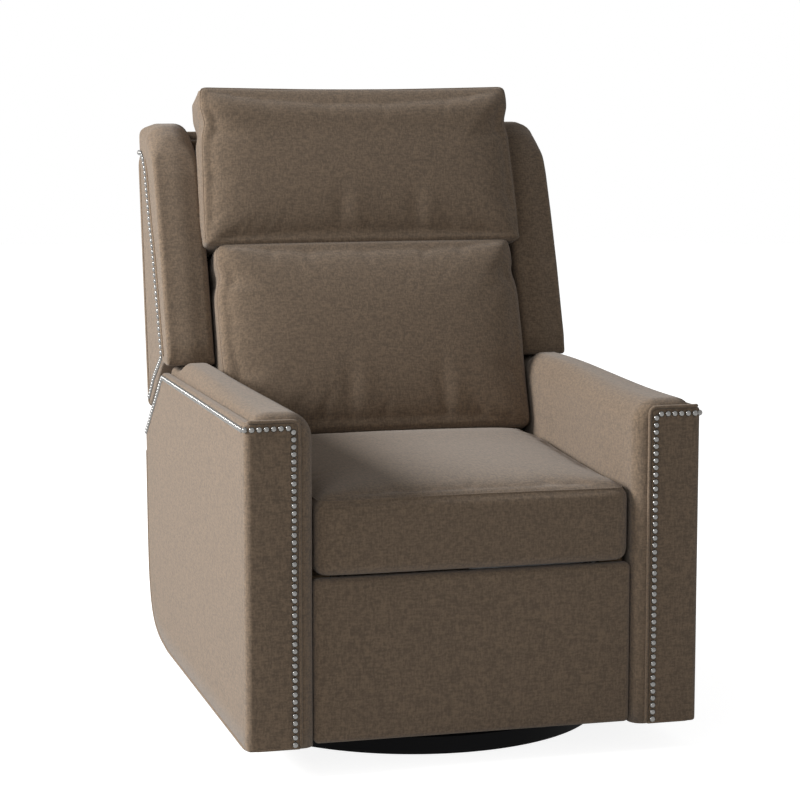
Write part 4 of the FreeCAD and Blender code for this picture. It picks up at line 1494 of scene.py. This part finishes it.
@dataclass
class Wing:
    """One wing of the back: a rolled front, a flat outer side, a welt and nails between them.

    The rounds of its edges are the least, what the front adds and what the top adds.
    """

    inner: float = 0.294
    outer: float = 0.382
    corners: tuple[Pair, ...] = (
        (0.2805, 0.5875), (0.2815, 0.622), (0.293, 0.654), (0.327, 0.755), (0.366, 0.855),
        (0.398, 0.930), (0.421, 0.968), (0.448, 1.000), (0.480, 1.019), (0.530, 1.0225),
        (0.562, 1.014), (0.5755, 1.000), (0.489, 0.487), (0.343, 0.5875))
    nails: tuple[Pair, ...] = (
        (0.568, 0.966), (0.545, 0.966), (0.524, 0.957), (0.502, 0.934), (0.485, 0.896),
        (0.458, 0.840), (0.433, 0.797), (0.415, 0.760), (0.365, 0.643), (0.3465, 0.600),
        (0.352, 0.594), (0.385, 0.576), (0.433, 0.549), (0.486, 0.507))
    front_nails: tuple[int, int] = (2, 10)
    front_fade: float = 0.03
    top_band: Pair = (0.95, 0.06)
    rear_edge: float = 0.578
    rear_fade: float = 0.05
    foot_band: Pair = (0.588, 0.03)
    inner_rounds: Triple = (0.003, 0.011, 0.026)
    outer_rounds: Triple = (0.005, 0.004, 0.025)
    welt_ahead: float = 0.020
    welt_fade: float = 0.022
    welt_sunk: float = 0.0014
    welt_radius: float = 0.0032
    outer_band: Pair = (0.350, 0.032)
    side_step: float = 0.0015
    roll: float = 0.003
    roll_at: float = 0.338
    roll_half: float = 0.034
    nail_sunk: float = 0.0006
    fill: float = 0.85

    @property
    def front_row(self) -> Array:
        """Gives the corners of the nail row along the front as (Y, Z), from the top down."""
        return np.array(self.nails[slice(*self.front_nails)])

    def nail_y(self, height: Array) -> Array:
        """Gives the Y of the front nail row at a height."""
        rising = self.front_row[::-1]
        return np.interp(height, rising[:, 1], rising[:, 0])

    def settle(self, points: Array, share: Array, front: Array) -> Array:
        """Lowers the outer side behind the welt by an eased step and rolls the front band out.

        Args:
            points: Points of the slab.
            share: The share of the thickness of each row on the band, or -1.
            front: A weight that is 1 along the front of the outline.

        Returns:
            The moved points.
        """
        moved = points.copy()
        line = self.nail_y(points[..., 1]) - self.welt_ahead
        ahead = smoothstep((line - points[..., 0]) / self.welt_fade)
        outside = eased(points[..., 2], *self.outer_band)
        moved[..., 2] -= self.side_step * outside * (1.0 - ahead)
        near = self.roll_half - np.abs(points[..., 2] - self.roll_at)
        on_band = (share >= 0)[:, None]
        moved[..., 0] -= self.roll * (smoothstep(near / self.roll_half) * front[None] * on_band)
        return moved

    def build(self, side: Side, wardrobe: Wardrobe) -> None:
        """Builds the wing and its welt on one side.

        Args:
            side: The side.
            wardrobe: The finishes.
        """
        outline = even_path(self.corners, spacing=0.006, soften=0.010, closed=True)
        y, z = outline.T
        front = smoothstep((self.nail_y(z) - y) / self.front_fade)
        top = eased(z, *self.top_band) * smoothstep((self.rear_edge - y) / self.rear_fade)
        foot = eased(z, *self.foot_band)
        round_low, round_high = (least + ahead * front * foot + above * top for least, ahead, above
                                 in (self.inner_rounds, self.outer_rounds))
        slab = Slab(outline, self.inner, self.outer, round_low, round_high, corner_rows=8,
                    face_rows=30, band_rows=np.linspace(0.0, 1.0, 10))
        points, share, faces = slab.build()
        points = on_side(self.settle(points, share, front), side)
        piece = make_piece(f"wing_{side.label}_padded", points, faces)
        wardrobe.upholster(piece, Body.BACK, f"wing_{side.label}", self.fill)
        x = side.value * (self.outer - self.welt_sunk)
        seam = self.front_row - np.array([self.welt_ahead, 0.0])
        path = even_path([(x, *corner) for corner in seam], spacing=0.005, soften=0.020)
        wardrobe.pipe(f"wing_welt_{side.label}", Body.BACK, path, self.welt_radius,
                      (1.0, 0.0, 0.0))

    def nail_runs(self, side: Side) -> list[Run]:
        """Gives the nail row.

        Args:
            side: The side of the wing.

        Returns:
            One pair of a path and the way the heads face.
        """
        x = side.value * (self.outer - self.nail_sunk)
        path = even_path([(x, *corner) for corner in self.nails], NAIL_STEP, soften=0.008)
        return [(path, np.array([float(side.value), 0.0, 0.0]))]


@dataclass
class BackPanels:
    """The upholstered panels of the back: inside, outside, tail and the cover of the top rail."""

    foot: Pair = (0.489, 0.4865)
    head: Pair = (0.5736, 1.005)
    half: float = 0.382
    shoulder: tuple[Pair, ...] = ((0.0, 0.055), (0.016, 0.016), (0.055, 0.0))
    depth: float = 0.016
    tail_half: float = 0.262
    inside: tuple[Pair, ...] = ((0.312, 0.425), (0.4349, 0.7543), (0.4287, 0.7757),
                                (0.4925, 0.984), (0.503, 0.984), (0.3165, 0.4235))
    rail: tuple[Pair, ...] = ((0.480, 0.934), (0.5615, 0.934), (0.571, 0.990), (0.501, 0.990))
    rail_half: float = 0.2935
    welt_inset: float = 0.004
    welt_behind: float = 0.0155
    welt_radius: float = 0.0030

    def plane(self, height: Array) -> Array:
        """Gives the Y of the outside panel's front at a height."""
        return np.interp(height, (self.foot[1], self.head[1]), (self.foot[0], self.head[0]))

    def shoulders(self, inset: float) -> list[Pair]:
        """Gives the cut upper corners of the outside panel, drawn in, from right to left."""
        right = [(self.half - x - inset, self.head[1] - z - inset) for x, z in self.shoulder]
        return [*right, *((-x, z) for x, z in reversed(right))]

    def build(self, wardrobe: Wardrobe) -> None:
        """Builds the four panels and the welt round the outside.

        Args:
            wardrobe: The finishes.
        """
        corners = [(-self.half, self.foot[1]), (self.half, self.foot[1]), *self.shoulders(0.0)]
        outline = even_path(corners, spacing=0.007, soften=0.014, closed=True)
        slab = Slab(outline, 0.0, self.depth, round_low=0.002, round_high=0.006,
                    crown_high=0.005, softness=0.09)
        piece = front_slab(slab, "outside_back_padded", self.plane)
        wardrobe.upholster(piece, Body.BACK, "outside_back_panel", PANEL_FILL)
        low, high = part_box("back_tail_panel")
        half = self.tail_half
        outline = rectangle((-half, low[2]), (half, high[2]), spacing=0.007, rounding=0.010)
        slab = Slab(outline, low[1], high[1], round_low=0.002, round_high=0.005,
                    crown_high=0.003, softness=0.07)
        piece = front_slab(slab, "back_tail_padded", upright)
        wardrobe.upholster(piece, Body.BACK, "back_tail_panel", PANEL_FILL)
        inside = even_path(self.inside, spacing=0.006, soften=0.004, closed=True)
        rail = even_path(self.rail, spacing=0.004, soften=0.008, closed=True)
        for name, node, outline, half, rounding in (
                ("inside_back_padded", "inside_back", inside, self.tail_half, 0.002),
                ("back_top_padded", "back_top_rail", rail, self.rail_half, 0.004)):
            points, _, faces = Slab(outline, -half, half, rounding, rounding).build()
            piece = make_piece(name, on_side(points, Side.RIGHT), faces)
            wardrobe.upholster(piece, Body.BACK, node, PANEL_FILL)
        self.welt(wardrobe)

    def welt(self, wardrobe: Wardrobe) -> None:
        """Builds the welt up one side of the outside panel, over its top and down the other.

        Args:
            wardrobe: The finishes.
        """
        edge, low = self.half - self.welt_inset, self.foot[1] + self.welt_inset
        x, z = np.array([(edge, low), *self.shoulders(self.welt_inset), (-edge, low)]).T
        rim = np.stack([x, self.plane(z) + self.welt_behind, z], axis=1)
        path = even_path(rim, spacing=0.006, soften=0.016)
        wardrobe.pipe("outside_back_welt", Body.BACK, path, self.welt_radius, (0.0, 1.0, 0.05))


@dataclass
class SeatApron:
    """The cloth that closes the slit between seat rail and foot of the back."""

    half: float = 0.284
    thickness: float = 0.0020
    line: tuple[Pair, ...] = ((0.2695, 0.327), (0.275, 0.3165), (0.284, 0.321), (0.290, 0.350),
                              (0.3025, 0.395), (0.3125, 0.4225), (0.3165, 0.432))

    def build(self, wardrobe: Wardrobe) -> None:
        """Builds the cloth: the line P(s) in (Y, Z), t / 2 to each side of it, carried along X.

        Args:
            wardrobe: The finishes.
        """
        path = even_path(self.line, spacing=0.005, soften=0.010)
        along = np.gradient(path, axis=0)
        along /= np.linalg.norm(along, axis=1, keepdims=True)
        aside = np.stack([-along[:, 1], along[:, 0]], axis=1)
        x = np.linspace(-self.half, self.half, 24)
        # No thickness at the two ends, which closes them.
        thick = np.where(np.abs(x) < self.half, self.thickness / 2, 0.0)[:, None, None]
        loop = np.concatenate([path + thick * aside, (path - thick * aside)[:, ::-1]], axis=1)
        points = np.dstack([np.broadcast_to(x[:, None], loop.shape[:2]), loop])
        piece = make_piece("seat_apron", points, grid_faces(len(x), loop.shape[1], wrap=True))
        wardrobe.paint(piece, wardrobe.cloth["upholstery"])
        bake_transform(piece)
        LOG.info("%s follows the carriage and the back, %d faces", piece.name,
                 len(piece.data.polygons))


@dataclass
class FootrestPad:
    """The padded panel under the seat, and the cloth drawn round the board behind it."""

    half: float = 0.2680
    low: float = 0.0505
    high: float = 0.3188
    front: float = -0.3850
    depth: float = 0.0285
    rounding: float = 0.0085
    crown: float = 0.0060
    softness: float = 0.030
    fill: float = 0.85
    cloth: float = 0.0010
    cloth_round: float = 0.003
    cloth_fill: float = 0.95

    def build(self, wardrobe: Wardrobe) -> None:
        """Builds the pad and the cloth.

        The pad is a round-edged box whose face stands out by h f(x) f(z), where
        f = 1 - exp(-d / softness) at distance d from the edge.

        Args:
            wardrobe: The finishes.
        """
        half = np.array([self.half, (self.high - self.low) / 2, self.depth / 2])
        points, faces = boxed_form(half, self.rounding, cells=64)
        gap = np.maximum(half[:2] - np.abs(points[:, :2]), 0.0)
        puff = self.crown * np.prod(1.0 - np.exp(-gap / self.softness), axis=1)
        points[:, 2] += puff * facing(points, half)
        placed = np.stack([points[:, 0], self.front + half[2] - points[:, 2],
                           points[:, 1] + (self.low + self.high) / 2], axis=1)
        piece = make_piece("footrest_pad_cover", placed, faces)
        wardrobe.upholster(piece, Body.FOOTREST, "footrest_pad", self.fill)
        low, high = (np.array(corner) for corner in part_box("footrest_board"))
        half = (high - low) / 2 + self.cloth
        points, faces = boxed_form(half, self.cloth_round, cells=16)
        piece = make_piece("footrest_board_wrap", points + (low + high) / 2, faces)
        wardrobe.upholster(piece, Body.FOOTREST, "footrest_board", self.cloth_fill)


@dataclass
class NailHeads:
    """Rows of domed nail heads. Each head is r sin a across and h cos a proud of its seat."""

    radius: float = 0.0051
    height: float = 0.0040
    pitch: float = 0.01165
    rings: int = 4
    segments: int = 10

    def arrays(self, runs: Sequence[Run]) -> tuple[Array, Array]:
        """Sets heads along the runs at an even pitch.

        Args:
            runs: Pairs of a path and the direction that the heads face.

        Returns:
            The points and the quads of all heads.
        """
        angle = np.linspace(math.pi / 2, 0.0, self.rings + 1)[:, None, None]
        turn = np.linspace(0.0, 2.0 * math.pi, self.segments, endpoint=False)[:, None]
        single = grid_faces(self.rings + 1, self.segments, wrap=True)
        size = (self.rings + 1) * self.segments
        parts = []
        for path, out in runs:
            steps = np.linalg.norm(np.diff(path, axis=0), axis=1)
            reach = np.concatenate([[0.0], np.cumsum(steps)])
            count = int(round(reach[-1] / self.pitch)) + 1
            places = np.linspace(0.0, reach[-1], count)
            seats = np.stack([np.interp(places, reach, column) for column in path.T], axis=1)
            first = np.roll(out, 1)
            across = np.cos(turn) * first + np.sin(turn) * np.cross(out, first)
            dome = self.radius * np.sin(angle) * across + self.height * np.cos(angle) * out
            faces = (single[None] + size * np.arange(count)[:, None, None]).reshape(-1, 4)
            parts.append((seats[:, None, None] + dome[None], faces))
        return merge_arrays(parts)

    def build(self, name: str, node: str, body: Body, runs: Sequence[Run],
              wardrobe: Wardrobe) -> None:
        """Builds one piece with all the heads of the runs."""
        piece = make_piece(name, *self.arrays(runs))
        wardrobe.dress(piece, body, "nail_trim", node)


# Studio


@dataclass(frozen=True)
class Lamp:
    """A round lamp that faces the chair."""

    name: str
    place: Triple
    size: float
    power: float
    aim: Triple = (0.0, 0.0, 0.5)

    def build(self) -> None:
        """Adds the lamp."""
        light = bpy.data.lights.new(self.name, "AREA")
        light.shape = "DISK"
        light.size = self.size
        light.energy = self.power
        lamp = bpy.data.objects.new(self.name, light)
        lamp.location = self.place
        away = Vector(self.place) - Vector(self.aim)
        lamp.rotation_euler = away.to_track_quat("Z", "Y").to_euler()
        bpy.context.collection.objects.link(lamp)


LAMPS = (Lamp("key", (-6.1, 0.1, 3.5), 2.4, 605.0), Lamp("fill", (-2.6, -3.9, 1.7), 2.0, 19.0))
WHITE = (1.0, 1.0, 1.0, 1.0)


def white_to_camera(tree: Tree) -> Socket:
    """Tells the rays that see the background from those that light the chair.

    Args:
        tree: The node tree.

    Returns:
        A socket with 1 for camera, glossy and transmission rays, and 0 for the rest.
    """
    path = tree.nodes.new("ShaderNodeLightPath")
    total = path.outputs["Is Camera Ray"]
    for ray in ("Is Glossy Ray", "Is Transmission Ray"):
        total = calculate(tree, "MAXIMUM", total, path.outputs[ray])
    return total


@dataclass
class Studio:
    """The floor, the light and the camera."""

    target: Triple = (-0.02074, 0.0, 0.54967)
    azimuth: float = -15.35
    elevation: float = 7.59
    distance: float = 4.31842
    lens: float = 111.04
    sensor: float = 36.0
    far: float = 50.0
    sky: float = 0.29
    floor_rings: tuple[float, ...] = (0.0, 0.4, 0.8, 1.6, 3.0, 6.0, 12.0)
    floor_segments: int = 48
    floor_colour: tuple[float, ...] = (0.50, 0.50, 0.50, 1.0)
    floor_roughness: float = 0.9
    floor_specular: float = 0.1
    floor_glow: float = 0.88

    def build(self) -> None:
        """Builds the whole studio."""
        self.camera()
        self.floor()
        for lamp in LAMPS:
            lamp.build()
        self.world()
        bpy.context.scene.view_settings.view_transform = "Standard"

    def camera(self) -> None:
        """Sets the camera at the photograph's angle."""
        turn, rise = math.radians(self.azimuth), math.radians(self.elevation)
        way = Vector((math.sin(turn) * math.cos(rise), -math.cos(turn) * math.cos(rise),
                      math.sin(rise)))
        lens = bpy.data.cameras.new("camera")
        lens.lens = self.lens
        lens.sensor_width = self.sensor
        lens.clip_end = self.far
        camera = bpy.data.objects.new("camera", lens)
        camera.location = Vector(self.target) + way * self.distance
        camera.rotation_euler = way.to_track_quat("Z", "Y").to_euler()
        bpy.context.collection.objects.link(camera)
        bpy.context.scene.camera = camera

    def floor(self) -> None:
        """Lays a pale floor, a disc of rings, that turns white to the camera out of the shadow."""
        radius = np.array(self.floor_rings)[:, None]
        turn = np.linspace(0.0, 2.0 * math.pi, self.floor_segments, endpoint=False)
        points = np.stack([radius * np.cos(turn), radius * np.sin(turn),
                           np.zeros((len(radius), len(turn)))], axis=-1)
        faces = grid_faces(len(radius), len(turn), wrap=True)[:, ::-1]
        piece = make_piece("floor", points, faces)
        material = bpy.data.materials.new("pale_floor")
        material.use_nodes = True
        tree = material.node_tree
        glow = calculate(tree, "MULTIPLY", white_to_camera(tree), self.floor_glow)
        inputs = tree.nodes["Principled BSDF"].inputs
        for name, value in (("Base Color", self.floor_colour), ("Roughness", self.floor_roughness),
                            ("Specular IOR Level", self.floor_specular),
                            ("Emission Color", WHITE), ("Emission Strength", glow)):
            link(tree, value, inputs[name])
        piece.data.materials.append(material)

    def world(self) -> None:
        """Makes a soft grey sky that the camera sees as white."""
        world = bpy.data.worlds.new("studio")
        world.use_nodes = True
        tree = world.node_tree
        inputs = tree.nodes["Background"].inputs
        strength = tree.nodes.new("ShaderNodeMapRange")
        for name, value in (("To Min", self.sky), ("To Max", 1.0),
                            ("Value", white_to_camera(tree))):
            link(tree, value, strength.inputs[name])
        link(tree, WHITE, inputs["Color"])
        link(tree, strength.outputs[0], inputs["Strength"])
        bpy.context.scene.world = world


def main() -> None:
    """Builds every piece in order."""
    logging.basicConfig(level=logging.INFO, format="%(message)s")
    wardrobe = Wardrobe()
    Studio().build()
    for assembly in (Seat(), BackCushion(), Headrest(), FootrestPad(), BackPanels(), SeatApron()):
        assembly.build(wardrobe)
    arm, wing, nails = Arm(), Wing(), NailHeads()
    for side in Side:
        arm.build(side, wardrobe)
        wing.build(side, wardrobe)
    for name, node, body, owner in (("arm_nail_heads", "arm_nail_trim", Body.CARRIAGE, arm),
                                    ("wing_nail_heads", "wing_nail_trim", Body.BACK, wing)):
        runs = [run for side in Side for run in owner.nail_runs(side)]
        nails.build(name, node, body, runs, wardrobe)


if __name__ == "__main__":
    main()
